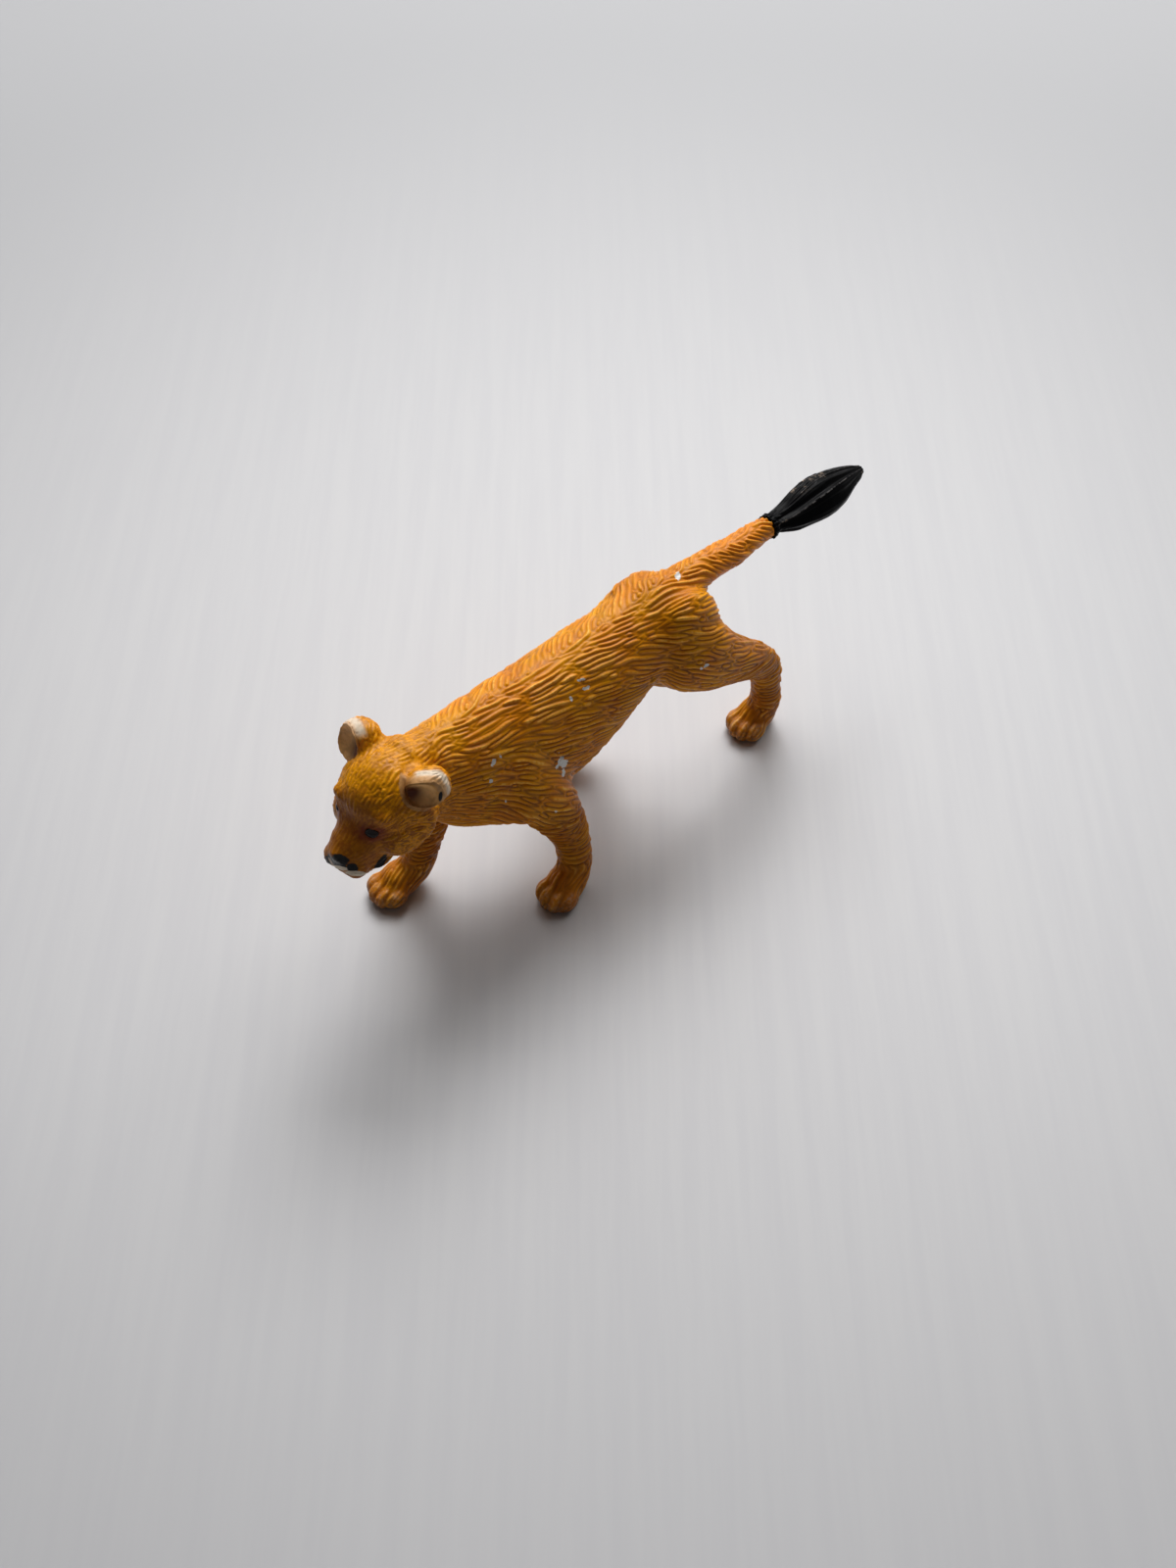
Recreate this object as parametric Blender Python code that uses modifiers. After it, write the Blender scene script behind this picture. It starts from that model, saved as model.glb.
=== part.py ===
"""A small toy lion cub, cast in eight plastic pieces that plug together.

The animal is sculpted once, as one soft form, and is then parted the way such a figure is cast: a torso with
sockets, and a head, four legs and a tail whose pegs are pushed into them. A glossy tuft plugs into the tail.
The head looks towards -Y, the animal's left side is +X, and the paws stand on Z = 0.
"""

import math

import bmesh
import bpy
import numpy as np
from mathutils import Matrix, Vector

MM = 0.001

# Driving sizes of the body. Places along the body count from the shoulder joint towards the tail.
BODY_LENGTH = 40 * MM
WITHERS_HEIGHT = 32 * MM
CHEST_WIDTH = 13.2 * MM
CHEST_DEPTH = 18.8 * MM

# Driving sizes of the legs.
STANCE_WIDTH = 12 * MM
LEG_THICKNESS = 4.2 * MM
PAW_LENGTH = 7.2 * MM
PAW_WIDTH = 5.6 * MM
PAW_HEIGHT = 3.6 * MM

# Driving sizes of the head. Places on it count from the middle between the ears.
HEAD_WIDTH = 11.4 * MM
HEAD_LENGTH = 15 * MM
HEAD_DEPTH = 13.5 * MM
HEAD_TURN = math.radians(9)
EAR_WIDTH = 5.3 * MM
EAR_HEIGHT = 5 * MM
EAR_THICKNESS = 4.6 * MM
EAR_RIM = 0.2 * MM
EYE_DIAMETER = 1.5 * MM
EYE_SOCKET_MARGIN = 0.3 * MM
EYE_SOCKET_ADVANCE = 0.6 * MM
MOUTH_LINE_WIDTH = 0.6 * MM

# Driving sizes of the tail and its tuft.
TAIL_LENGTH = 17.7 * MM
TAIL_THICKNESS = 3 * MM
TUFT_LENGTH = 17.7 * MM
TUFT_WIDTH = 5.4 * MM
TUFT_LOCKS = 9

# The plugs that join the castings, and the gap that their faces keep.
SEAM_GAP = 0.3 * MM
LEG_PEG_DIAMETER = 3.2 * MM
LEG_PEG_LENGTH = 2.2 * MM
HEAD_PEG_DIAMETER = 4.6 * MM
HEAD_PEG_LENGTH = 3.6 * MM
TAIL_PEG_DIAMETER = 2.4 * MM
TAIL_PEG_LENGTH = 3 * MM
TUFT_PEG_DIAMETER = 1.2 * MM
TUFT_PEG_LENGTH = 2.8 * MM
PEG_CHAMFER = 0.2 * MM

# How the soft form is made: the grain of the sculpted surface, and how far cutters run past what they cut.
SCULPT_GRAIN = 0.35 * MM
CUT_OVERRUN = 12 * MM
SMOOTHING_PASSES = 5
FACET_SHARE = 0.08

# Torso sections: place along BODY_LENGTH, centre by WITHERS_HEIGHT, half width by CHEST_WIDTH and half depth
# by CHEST_DEPTH. Each section is narrower above than below by the egg share.
TORSO_SHARES = (
    (-0.275, 0.806, 0.333, 0.234),
    (-0.200, 0.810, 0.352, 0.304),
    (-0.125, 0.776, 0.386, 0.368),
    (-0.050, 0.733, 0.440, 0.445),
    (0.050, 0.684, 0.485, 0.504),
    (0.150, 0.662, 0.508, 0.520),
    (0.250, 0.668, 0.500, 0.504),
    (0.350, 0.690, 0.493, 0.467),
    (0.450, 0.722, 0.477, 0.414),
    (0.550, 0.754, 0.445, 0.352),
    (0.650, 0.774, 0.420, 0.328),
    (0.750, 0.787, 0.394, 0.335),
    (0.838, 0.791, 0.318, 0.271),
    (0.900, 0.794, 0.182, 0.170),
)
TORSO_EGG_SHARE = 0.1

# Leg sections from the body down to the paw: place outward by STANCE_WIDTH, along BODY_LENGTH and up by
# WITHERS_HEIGHT, then half width and half depth by LEG_THICKNESS.
LEFT_FORELEG_SHARES = (
    (0.383, 0.062, 0.688, 0.524, 0.714),
    (0.433, 0.110, 0.562, 0.738, 0.976),
    (0.525, 0.160, 0.431, 0.667, 0.833),
    (0.580, 0.190, 0.319, 0.571, 0.667),
    (0.630, 0.207, 0.212, 0.488, 0.560),
    (0.660, 0.206, 0.125, 0.500, 0.560),
    (0.708, 0.185, 0.062, 0.548, 0.476),
)
RIGHT_FORELEG_SHARES = (
    (0.383, 0.062, 0.688, 0.524, 0.714),
    (0.417, 0.020, 0.562, 0.714, 1.000),
    (0.433, -0.030, 0.453, 0.643, 0.810),
    (0.442, -0.072, 0.344, 0.548, 0.667),
    (0.442, -0.110, 0.219, 0.488, 0.548),
    (0.450, -0.140, 0.125, 0.500, 0.548),
    (0.467, -0.175, 0.062, 0.548, 0.476),
)
LEFT_HIND_LEG_SHARES = (
    (0.325, 0.725, 0.797, 0.619, 1.143),
    (0.400, 0.775, 0.688, 0.738, 1.286),
    (0.467, 0.855, 0.594, 0.667, 1.048),
    (0.495, 0.952, 0.512, 0.548, 0.774),
    (0.490, 1.042, 0.430, 0.500, 0.630),
    (0.490, 1.098, 0.342, 0.452, 0.560),
    (0.485, 1.112, 0.231, 0.452, 0.500),
    (0.475, 1.120, 0.131, 0.500, 0.524),
    (0.458, 1.105, 0.062, 0.524, 0.452),
)
RIGHT_HIND_LEG_SHARES = (
    (0.325, 0.750, 0.781, 0.619, 1.095),
    (0.392, 0.662, 0.672, 0.738, 1.190),
    (0.442, 0.585, 0.572, 0.667, 1.000),
    (0.475, 0.580, 0.469, 0.571, 0.786),
    (0.492, 0.620, 0.359, 0.500, 0.619),
    (0.500, 0.645, 0.269, 0.452, 0.548),
    (0.517, 0.600, 0.181, 0.452, 0.476),
    (0.533, 0.540, 0.113, 0.476, 0.476),
    (0.542, 0.490, 0.069, 0.524, 0.429),
)

# For each leg: its side, its sections, the paw's place outward and along, the paw's turn in degrees, the
# muscle that joins it to the body (centre across, along and up, then its three radii, then its lean in
# degrees) and the peg's place along and up.
LEGS = {
    "left_foreleg": {
        "side": 1,
        "section_shares": LEFT_FORELEG_SHARES,
        "paw_shares": (0.717, 0.152),
        "paw_turn": 15,
        "muscle_shares": (0.295, 0.075, 0.634, 0.205, 0.120, 0.350),
        "muscle_lean": 18,
        "peg_shares": (0.100, 0.580),
    },
    "right_foreleg": {
        "side": -1,
        "section_shares": RIGHT_FORELEG_SHARES,
        "paw_shares": (0.492, -0.215),
        "paw_turn": 5,
        "muscle_shares": (0.273, 0.050, 0.634, 0.197, 0.120, 0.350),
        "muscle_lean": 12,
        "peg_shares": (0.045, 0.580),
    },
    "left_hind_leg": {
        "side": 1,
        "section_shares": LEFT_HIND_LEG_SHARES,
        "paw_shares": (0.433, 1.090),
        "paw_turn": 8,
        "muscle_shares": (0.273, 0.750, 0.750, 0.220, 0.150, 0.362),
        "muscle_lean": -25,
        "peg_shares": (0.750, 0.750),
    },
    "right_hind_leg": {
        "side": -1,
        "section_shares": RIGHT_HIND_LEG_SHARES,
        "paw_shares": (0.542, 0.455),
        "paw_turn": -3,
        "muscle_shares": (0.262, 0.725, 0.740, 0.215, 0.150, 0.350),
        "muscle_lean": 20,
        "peg_shares": (0.710, 0.730),
    },
}

# The part line of a leg is a leaning plane: its place across at the height given, its lean outward as it
# rises, and how much wider than the leg itself the parted outline is.
PART_LINE_SHARE = 0.25
PART_LINE_HEIGHT_SHARE = 0.56
PART_LINE_LEAN_SHARE = 0.12
PART_OUTLINE_SHARE = 1.3
PAW_OUTLINE_SHARE = 0.8
OUTLINE_LEVEL_SHARES = (0.995, 0.97, 0.92, 0.85, 0.77, 0.69, 0.61, 0.53, 0.45, 0.37, 0.29, 0.21, 0.13, 0.06)

# Paw: palm centre and radii, then each toe's side, place, height and radii, by the paw's sizes.
PALM_SHARES = (0.0, 0.04, 0.44, 0.44, 0.42, 0.61)
TOE_SHARES = (
    (-0.36, -0.320, 0.34, 0.146, 0.211, 0.335),
    (-0.13, -0.417, 0.34, 0.160, 0.232, 0.367),
    (0.13, -0.417, 0.34, 0.160, 0.232, 0.367),
    (0.36, -0.320, 0.34, 0.146, 0.211, 0.335),
)
TOE_SPREAD = math.radians(-40)
TOE_DROOP = math.radians(12)

# Head: where the middle between the ears lies, along and up, and the soft volumes of the skull. A volume has
# its centre across, back and up, then its radii, by HEAD_WIDTH, HEAD_LENGTH and HEAD_DEPTH. Volumes away from
# the middle are mirrored.
HEAD_PLACE_SHARES = (-0.297, 0.975)
HEAD_VOLUME_SHARES = (
    (0.0, -0.060, -0.319, 0.500, 0.373, 0.393),
    (0.0, -0.227, -0.244, 0.368, 0.200, 0.244),
    (0.0, 0.147, -0.163, 0.333, 0.213, 0.222),
    (0.0, -0.627, -0.533, 0.114, 0.053, 0.056),
    (0.0, -0.440, -0.793, 0.184, 0.160, 0.111),
    (0.0, -0.213, -0.681, 0.298, 0.267, 0.193),
    (0.289, -0.147, -0.511, 0.228, 0.240, 0.222),
    (0.200, -0.320, -0.195, 0.165, 0.085, 0.074),
    (0.123, -0.553, -0.667, 0.140, 0.107, 0.111),
    (0.167, -0.333, -0.711, 0.132, 0.153, 0.119),
)
MUZZLE_SHARES = (
    (-0.100, -0.459, 0.386, 0.311),
    (-0.307, -0.511, 0.298, 0.252),
    (-0.453, -0.563, 0.254, 0.200),
    (-0.560, -0.600, 0.206, 0.159),
    (-0.633, -0.615, 0.140, 0.111),
    (-0.660, -0.615, 0.070, 0.059),
)
EAR_SHARES = (0.447, 0.075, -0.040)
EAR_TURN = math.radians(25)
EAR_TILT = math.radians(-10)
EAR_HOLLOW_SHARE = 0.48
EAR_HOLLOW_DEPTH_SHARE = 0.62
EYE_SHARES = (0.212, -0.380, -0.322)

# Lip line from a corner of the mouth to the middle: across, back and up by the head's sizes, and half width
# by MOUTH_LINE_WIDTH.
LIP_SHARES = (
    (0.289, -0.307, -0.700, 0.3),
    (0.276, -0.373, -0.724, 0.5),
    (0.237, -0.453, -0.737, 0.5),
    (0.215, -0.520, -0.741, 0.5),
    (0.193, -0.580, -0.741, 0.5),
    (0.105, -0.623, -0.733, 0.5),
    (0.000, -0.610, -0.728, 0.5),
)

# Tail: place along from its root, height by WITHERS_HEIGHT, half width and half depth by TAIL_THICKNESS.
TAIL_ROOT_SHARE = 0.775
TAIL_SHARES = (
    (0.00, 0.863, 1.067, 1.000),
    (0.17, 0.884, 0.900, 0.833),
    (0.34, 0.894, 0.733, 0.700),
    (0.57, 0.891, 0.667, 0.650),
    (0.79, 0.891, 0.583, 0.583),
    (1.00, 0.884, 0.500, 0.500),
    (1.10, 0.881, 0.500, 0.500),
)
TAIL_SEAM_SHARE = 0.29
TAIL_SEAM_SIDE_SHARE = 1.15
TAIL_SEAM_BELOW_SHARE = 0.85
TAIL_PEG_DROP_SHARE = 0.05

# Tuft: place along TUFT_LENGTH, drop, half width and half depth by TUFT_WIDTH.
TUFT_SHARES = (
    (0.000, 0.000, 0.268, 0.260),
    (0.111, 0.045, 0.320, 0.282),
    (0.211, 0.065, 0.368, 0.318),
    (0.328, 0.050, 0.442, 0.382),
    (0.494, 0.042, 0.512, 0.442),
    (0.661, 0.075, 0.465, 0.395),
    (0.817, 0.120, 0.340, 0.290),
    (0.944, 0.160, 0.190, 0.165),
    (1.000, 0.170, 0.085, 0.078),
)
LOCK_DEPTH_SHARE = 0.09

# Neck seam: its place along, the slope of its plane, and the heights of its lower edge and of its peg.
NECK_SEAM_SHARE = -0.17
NECK_SEAM_SLOPE = math.radians(-10)
NECK_SEAM_FLOOR_SHARE = 0.49
NECK_PEG_HEIGHT_SHARE = 0.79


def clear_scene():
    for obj in list(bpy.data.objects):
        bpy.data.objects.remove(obj, do_unlink=True)


def new_collection(name):
    collection = bpy.data.collections.new(name)
    bpy.context.scene.collection.children.link(collection)
    return collection


def new_object(name, bm, collection):
    """An object that takes over the shape in bm."""
    bmesh.ops.recalc_face_normals(bm, faces=bm.faces)
    mesh = bpy.data.meshes.new(name)
    bm.to_mesh(mesh)
    bm.free()
    obj = bpy.data.objects.new(name, mesh)
    collection.objects.link(obj)
    return obj


def hide_helper(obj):
    obj.hide_render = True
    obj.display_type = "WIRE"
    return obj


def evaluated_mesh(obj):
    graph = bpy.context.evaluated_depsgraph_get()
    graph.update()
    return bpy.data.meshes.new_from_object(obj.evaluated_get(graph))


def boolean(obj, operation, other):
    """Adds an exact Boolean with an object or with a whole collection."""
    modifier = obj.modifiers.new(operation.lower(), "BOOLEAN")
    modifier.operation = operation
    modifier.solver = "EXACT"
    if isinstance(other, bpy.types.Collection):
        modifier.operand_type = "COLLECTION"
        modifier.collection = other
    else:
        modifier.object = other


def smooth_rows(rows, steps):
    """Rows read from a Catmull-Rom spline through the rows given."""
    ends = [2 * rows[0] - rows[1], *rows, 2 * rows[-1] - rows[-2]]
    found = []
    for a, b, c, d in zip(ends, ends[1:], ends[2:], ends[3:]):
        for t in np.arange(steps) / steps:
            bend = (2 * a - 5 * b + 4 * c - d) * t * t + (3 * b - a - 3 * c + d) * t**3
            found.append((2 * b + (c - a) * t + bend) / 2)
    found.append(rows[-1])
    return np.array(found)


def add_tube(
    bm, rows, sides=20, steps=4, egg_share=0.0, locks=0, lock_share=0.0, upright=(1, 0, 0), placing=Matrix()
):
    """A closed tube through rows of centre, half width and half depth. Widths run along upright as nearly as
    the tube's direction lets them. Its sections may be egg-shaped, or ribbed by a number of locks of hair."""
    rows = smooth_rows(np.array(rows, float), steps)
    directions = np.gradient(rows[:, :3], axis=0)
    rings = []
    for row, direction in zip(rows, directions):
        forward = Vector(direction).normalized()
        across = (Vector(upright) - forward * forward.dot(Vector(upright))).normalized()
        down = forward.cross(across)
        ring = []
        for angle in np.arange(sides) * (2 * math.pi / sides):
            swell = 1 + lock_share * math.cos(locks * angle)
            width = row[3] * swell * math.cos(angle) * (1 + egg_share * math.sin(angle))
            depth = row[4] * swell * math.sin(angle)
            ring.append(bm.verts.new(placing @ (Vector(row[:3]) + across * width + down * depth)))
        rings.append(ring)
    for first, second in zip(rings, rings[1:]):
        for k in range(sides):
            after = (k + 1) % sides
            bm.faces.new((first[k], first[after], second[after], second[k]))
    bm.faces.new(rings[0][::-1])
    bm.faces.new(rings[-1])


def add_ball(bm, centre, radii, turn=Matrix(), placing=Matrix()):
    shape = placing @ Matrix.Translation(centre) @ turn @ Matrix.Diagonal((*radii, 1))
    bmesh.ops.create_uvsphere(bm, u_segments=20, v_segments=12, radius=1, matrix=shape)


def add_peg(bm, start, direction, length, diameter, chamfer):
    """A round peg from start along direction, with a chamfered far end."""
    turn = Vector(direction).to_track_quat("Z", "Y").to_matrix().to_4x4()
    placing = Matrix.Translation(Vector(start)) @ turn @ Matrix.Translation((0, 0, length / 2))
    made = bmesh.ops.create_cone(
        bm,
        cap_ends=True,
        segments=20,
        radius1=diameter / 2,
        radius2=diameter / 2,
        depth=length,
        matrix=placing,
    )
    if chamfer:
        end = placing @ Vector((0, 0, length / 2))
        axis = turn @ Vector((0, 0, 1))
        on_end = {vert for vert in made["verts"] if abs((vert.co - end).dot(axis)) < chamfer / 2}
        edges = {edge for vert in on_end for edge in vert.link_edges if set(edge.verts) <= on_end}
        bmesh.ops.bevel(bm, geom=list(edges), offset=chamfer, segments=1, affect="EDGES")


def add_box(bm, low, high, placing=Matrix()):
    size = Vector(high) - Vector(low)
    middle = (Vector(high) + Vector(low)) / 2
    shape = placing @ Matrix.Translation(middle) @ Matrix.Diagonal((*size, 1))
    bmesh.ops.create_cube(bm, size=1, matrix=shape)


def add_stack(bm, levels):
    """A closed block through level rectangles stacked from the top down. Each has its height, what it spans
    across and what it spans along."""
    rings = []
    for height, (near, far), (front, back) in levels:
        corners = ((near, front), (near, back), (far, back), (far, front))
        rings.append([bm.verts.new((x, y, height)) for x, y in corners])
    for upper, lower in zip(rings, rings[1:]):
        for k in range(len(upper)):
            after = (k + 1) % len(upper)
            bm.faces.new((upper[k], upper[after], lower[after], lower[k]))
    bm.faces.new(rings[0])
    bm.faces.new(rings[-1][::-1])


def head_placing():
    along, height = HEAD_PLACE_SHARES
    place = Matrix.Translation((0, along * BODY_LENGTH, height * WITHERS_HEIGHT))
    return place @ Matrix.Rotation(HEAD_TURN, 4, "Z")


def on_head(shares):
    """A place or three radii on the head, from their shares."""
    return Vector((shares[0] * HEAD_WIDTH, shares[1] * HEAD_LENGTH, shares[2] * HEAD_DEPTH))


def leg_rows(leg):
    units = (leg["side"] * STANCE_WIDTH, BODY_LENGTH, WITHERS_HEIGHT, LEG_THICKNESS, LEG_THICKNESS)
    return np.array(leg["section_shares"]) * units


def tail_rows():
    units = (TAIL_LENGTH, WITHERS_HEIGHT, TAIL_THICKNESS, TAIL_THICKNESS)
    rows = np.array(TAIL_SHARES) * units
    rows[:, 0] += TAIL_ROOT_SHARE * BODY_LENGTH
    return np.insert(rows, 0, 0, axis=1)


def tail_end():
    """The middle of the tail's flat end, where the tuft plugs in."""
    return Vector((0, TAIL_ROOT_SHARE * BODY_LENGTH + TAIL_LENGTH, TAIL_SHARES[-2][1] * WITHERS_HEIGHT))


def paw_place(leg):
    out, along = leg["paw_shares"]
    return Vector((leg["side"] * out * STANCE_WIDTH, along * BODY_LENGTH, 0))


def add_paw(bm, leg):
    size = Vector((PAW_WIDTH, PAW_LENGTH, PAW_HEIGHT))
    placing = Matrix.Translation(paw_place(leg)) @ Matrix.Rotation(math.radians(leg["paw_turn"]), 4, "Z")
    add_ball(bm, size * Vector(PALM_SHARES[:3]), size * Vector(PALM_SHARES[3:]), placing=placing)
    for toe in TOE_SHARES:
        spread = Matrix.Rotation(toe[0] * TOE_SPREAD, 4, "Z") @ Matrix.Rotation(TOE_DROOP, 4, "X")
        add_ball(bm, size * Vector(toe[:3]), size * Vector(toe[3:]), spread, placing)


def add_leg(bm, leg):
    add_tube(bm, leg_rows(leg), sides=16)
    across, along, height, wide, long, deep = leg["muscle_shares"]
    centre = Vector((leg["side"] * across * CHEST_WIDTH, along * BODY_LENGTH, height * WITHERS_HEIGHT))
    radii = (wide * CHEST_WIDTH, long * BODY_LENGTH, deep * CHEST_DEPTH)
    add_ball(bm, centre, radii, Matrix.Rotation(math.radians(leg["muscle_lean"]), 4, "X"))
    add_paw(bm, leg)


def add_head(bm):
    placing = head_placing()
    for volume in HEAD_VOLUME_SHARES:
        for side in (1, -1) if volume[0] else (1,):
            centre = on_head((side * volume[0], *volume[1:3]))
            add_ball(bm, centre, on_head(volume[3:]), placing=placing)
    units = (HEAD_LENGTH, HEAD_DEPTH, HEAD_WIDTH, HEAD_DEPTH)
    add_tube(bm, np.insert(np.array(MUZZLE_SHARES) * units, 0, 0, axis=1), placing=placing)
    for side in (1, -1):
        centre, turn = ear_frame(side)
        add_ball(bm, centre, (EAR_WIDTH / 2, EAR_THICKNESS / 2, EAR_HEIGHT / 2), turn, placing)


def ear_frame(side):
    centre = on_head((side * EAR_SHARES[0], *EAR_SHARES[1:]))
    return centre, Matrix.Rotation(side * EAR_TURN, 4, "Z") @ Matrix.Rotation(EAR_TILT, 4, "X")


def sculpt(helpers):
    """The whole animal without its tuft as one soft closed form, standing flat on its soles."""
    bm = bmesh.new()
    units = (BODY_LENGTH, WITHERS_HEIGHT, CHEST_WIDTH, CHEST_DEPTH)
    add_tube(bm, np.insert(np.array(TORSO_SHARES) * units, 0, 0, axis=1), egg_share=TORSO_EGG_SHARE)
    for leg in LEGS.values():
        add_leg(bm, leg)
    add_tube(bm, tail_rows(), sides=16)
    add_head(bm)
    form = hide_helper(new_object("sculpt", bm, helpers))

    remesh = form.modifiers.new("fuse", "REMESH")
    remesh.mode = "VOXEL"
    remesh.voxel_size = SCULPT_GRAIN
    smooth = form.modifiers.new("soften", "SMOOTH")
    smooth.factor = 0.5
    smooth.iterations = SMOOTHING_PASSES
    decimate = form.modifiers.new("facets", "DECIMATE")
    decimate.ratio = FACET_SHARE

    bm = bmesh.new()
    reach = BODY_LENGTH + TAIL_LENGTH + TUFT_LENGTH
    add_box(bm, (-reach, -reach, -CUT_OVERRUN), (reach, reach, 0))
    boolean(form, "DIFFERENCE", hide_helper(new_object("under_soles", bm, helpers)))
    return form


def part_line(leg, height, grow):
    """Where the leg's parting plane lies across the body at a height."""
    lean = PART_LINE_LEAN_SHARE * (height - PART_LINE_HEIGHT_SHARE * WITHERS_HEIGHT)
    return leg["side"] * (PART_LINE_SHARE * CHEST_WIDTH + lean - grow)


def disc_span(disc, level):
    """What a disc spans along at a height, from its place along, its own height and its radius."""
    along, height, radius = disc
    half = (radius**2 - (height - level) ** 2) ** 0.5
    return along - half, along + half


def leg_outline(leg, grow):
    """The parted outline of a leg seen from the side, as heights from the top down with what it spans along
    at each. It goes round a chain of discs that runs down the leg and over the paw."""
    discs = [(row[1], row[2], row[4] * PART_OUTLINE_SHARE + grow) for row in smooth_rows(leg_rows(leg), 3)]
    discs.append((paw_place(leg).y, 0, PAW_LENGTH * PAW_OUTLINE_SHARE + grow))
    top = max(height + reach for _, height, reach in discs)
    outline = []
    for share in OUTLINE_LEVEL_SHARES:
        level = top * share
        spans = [disc_span(disc, level) for disc in discs if abs(disc[1] - level) < disc[2]]
        outline.append((level, (min(low for low, _ in spans), max(high for _, high in spans))))
    outline.append((-CUT_OVERRUN, outline[-1][1]))
    return outline


def leg_region(name, leg, grow, helpers):
    """The space outside a leg's part line, as far as its outline."""
    far = leg["side"] * (STANCE_WIDTH + CUT_OVERRUN)
    outline = leg_outline(leg, grow)
    bm = bmesh.new()
    add_stack(bm, [(height, (part_line(leg, height, grow), far), span) for height, span in outline])
    return hide_helper(new_object(name, bm, helpers))


def leg_plug(leg):
    """The middle of a leg's plug on the part line."""
    along, height = leg["peg_shares"]
    height *= WITHERS_HEIGHT
    return Vector((part_line(leg, height, 0), along * BODY_LENGTH, height))


def neck_placing():
    place = Vector((0, NECK_SEAM_SHARE * BODY_LENGTH, NECK_PEG_HEIGHT_SHARE * WITHERS_HEIGHT))
    return Matrix.Translation(place) @ Matrix.Rotation(NECK_SEAM_SLOPE, 4, "X")


def head_region(name, grow, helpers):
    """The space in front of the neck seam and above the forelegs."""
    seat = neck_placing().translation
    reach = HEAD_LENGTH + CUT_OVERRUN
    levels = []
    for height in (WITHERS_HEIGHT + reach, NECK_SEAM_FLOOR_SHARE * WITHERS_HEIGHT - grow):
        seam = seat.y + grow + (height - seat.z) * math.tan(-NECK_SEAM_SLOPE)
        levels.append((height, (-reach, reach), (seat.y - BODY_LENGTH, seam)))
    bm = bmesh.new()
    add_stack(bm, levels)
    return hide_helper(new_object(name, bm, helpers))


def tail_region(name, grow, end, helpers):
    """The space behind the tail seam, as far along as end."""
    seam = TAIL_ROOT_SHARE * BODY_LENGTH + TAIL_SEAM_SHARE * TAIL_LENGTH
    side = TAIL_SEAM_SIDE_SHARE * TAIL_THICKNESS + grow
    middle = tail_end().z
    low = middle - TAIL_SEAM_BELOW_SHARE * TAIL_THICKNESS - grow
    bm = bmesh.new()
    add_box(bm, (-side, seam - grow, low), (side, end, middle + CUT_OVERRUN))
    return hide_helper(new_object(name, bm, helpers))


def tail_plug():
    seam = TAIL_ROOT_SHARE * BODY_LENGTH + TAIL_SEAM_SHARE * TAIL_LENGTH
    return Vector((0, seam, tail_end().z - TAIL_PEG_DROP_SHARE * TAIL_THICKNESS))


def peg(name, seat, inward, length, diameter, grow, helpers):
    """A peg or, with grow, its socket: it starts well inside its own piece and runs inward past the seam."""
    inward = Vector(inward).normalized()
    bm = bmesh.new()
    root = 0 if grow else diameter / 2
    chamfer = 0 if grow else PEG_CHAMFER
    add_peg(bm, seat - inward * root, inward, root + length + grow, diameter + 2 * grow, chamfer)
    return hide_helper(new_object(name, bm, helpers))


def paint(obj, colour, roughness):
    material = bpy.data.materials.new(obj.name)
    material.use_nodes = True
    shader = material.node_tree.nodes["Principled BSDF"]
    shader.inputs["Base Color"].default_value = (*colour, 1)
    shader.inputs["Roughness"].default_value = roughness
    shader.inputs["Metallic"].default_value = 0
    obj.data.materials.clear()
    obj.data.materials.append(material)


def casting(name, form_mesh, seat, parts):
    """A copy of the whole form with its origin on its plug, ready to be cut down to one piece."""
    mesh = form_mesh.copy()
    mesh.name = name
    mesh.transform(Matrix.Translation(-seat))
    obj = bpy.data.objects.new(name, mesh)
    obj.location = seat
    parts.objects.link(obj)
    return obj


def make_legs(form_mesh, parts, helpers, torso_cutters):
    for name, leg in LEGS.items():
        seat = leg_plug(leg)
        inward = (-leg["side"], 0, 0)
        obj = casting(name, form_mesh, seat, parts)
        boolean(obj, "INTERSECT", leg_region(f"{name}_region", leg, 0, helpers))
        boolean(obj, "UNION", peg(f"{name}_peg", seat, inward, LEG_PEG_LENGTH, LEG_PEG_DIAMETER, 0, helpers))
        leg_region(f"{name}_clearance", leg, SEAM_GAP, torso_cutters)
        peg(f"{name}_socket", seat, inward, LEG_PEG_LENGTH, LEG_PEG_DIAMETER, SEAM_GAP, torso_cutters)


def make_head(form_mesh, parts, helpers, torso_cutters):
    placing = neck_placing()
    seat = placing.translation
    inward = placing.to_3x3() @ Vector((0, 1, 0))
    obj = casting("head", form_mesh, seat, parts)
    boolean(obj, "INTERSECT", head_region("head_region", 0, helpers))
    boolean(obj, "UNION", peg("head_peg", seat, inward, HEAD_PEG_LENGTH, HEAD_PEG_DIAMETER, 0, helpers))
    head_region("head_clearance", SEAM_GAP, torso_cutters)
    peg("head_socket", seat, inward, HEAD_PEG_LENGTH, HEAD_PEG_DIAMETER, SEAM_GAP, torso_cutters)
    carve_face(obj, helpers)


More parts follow.
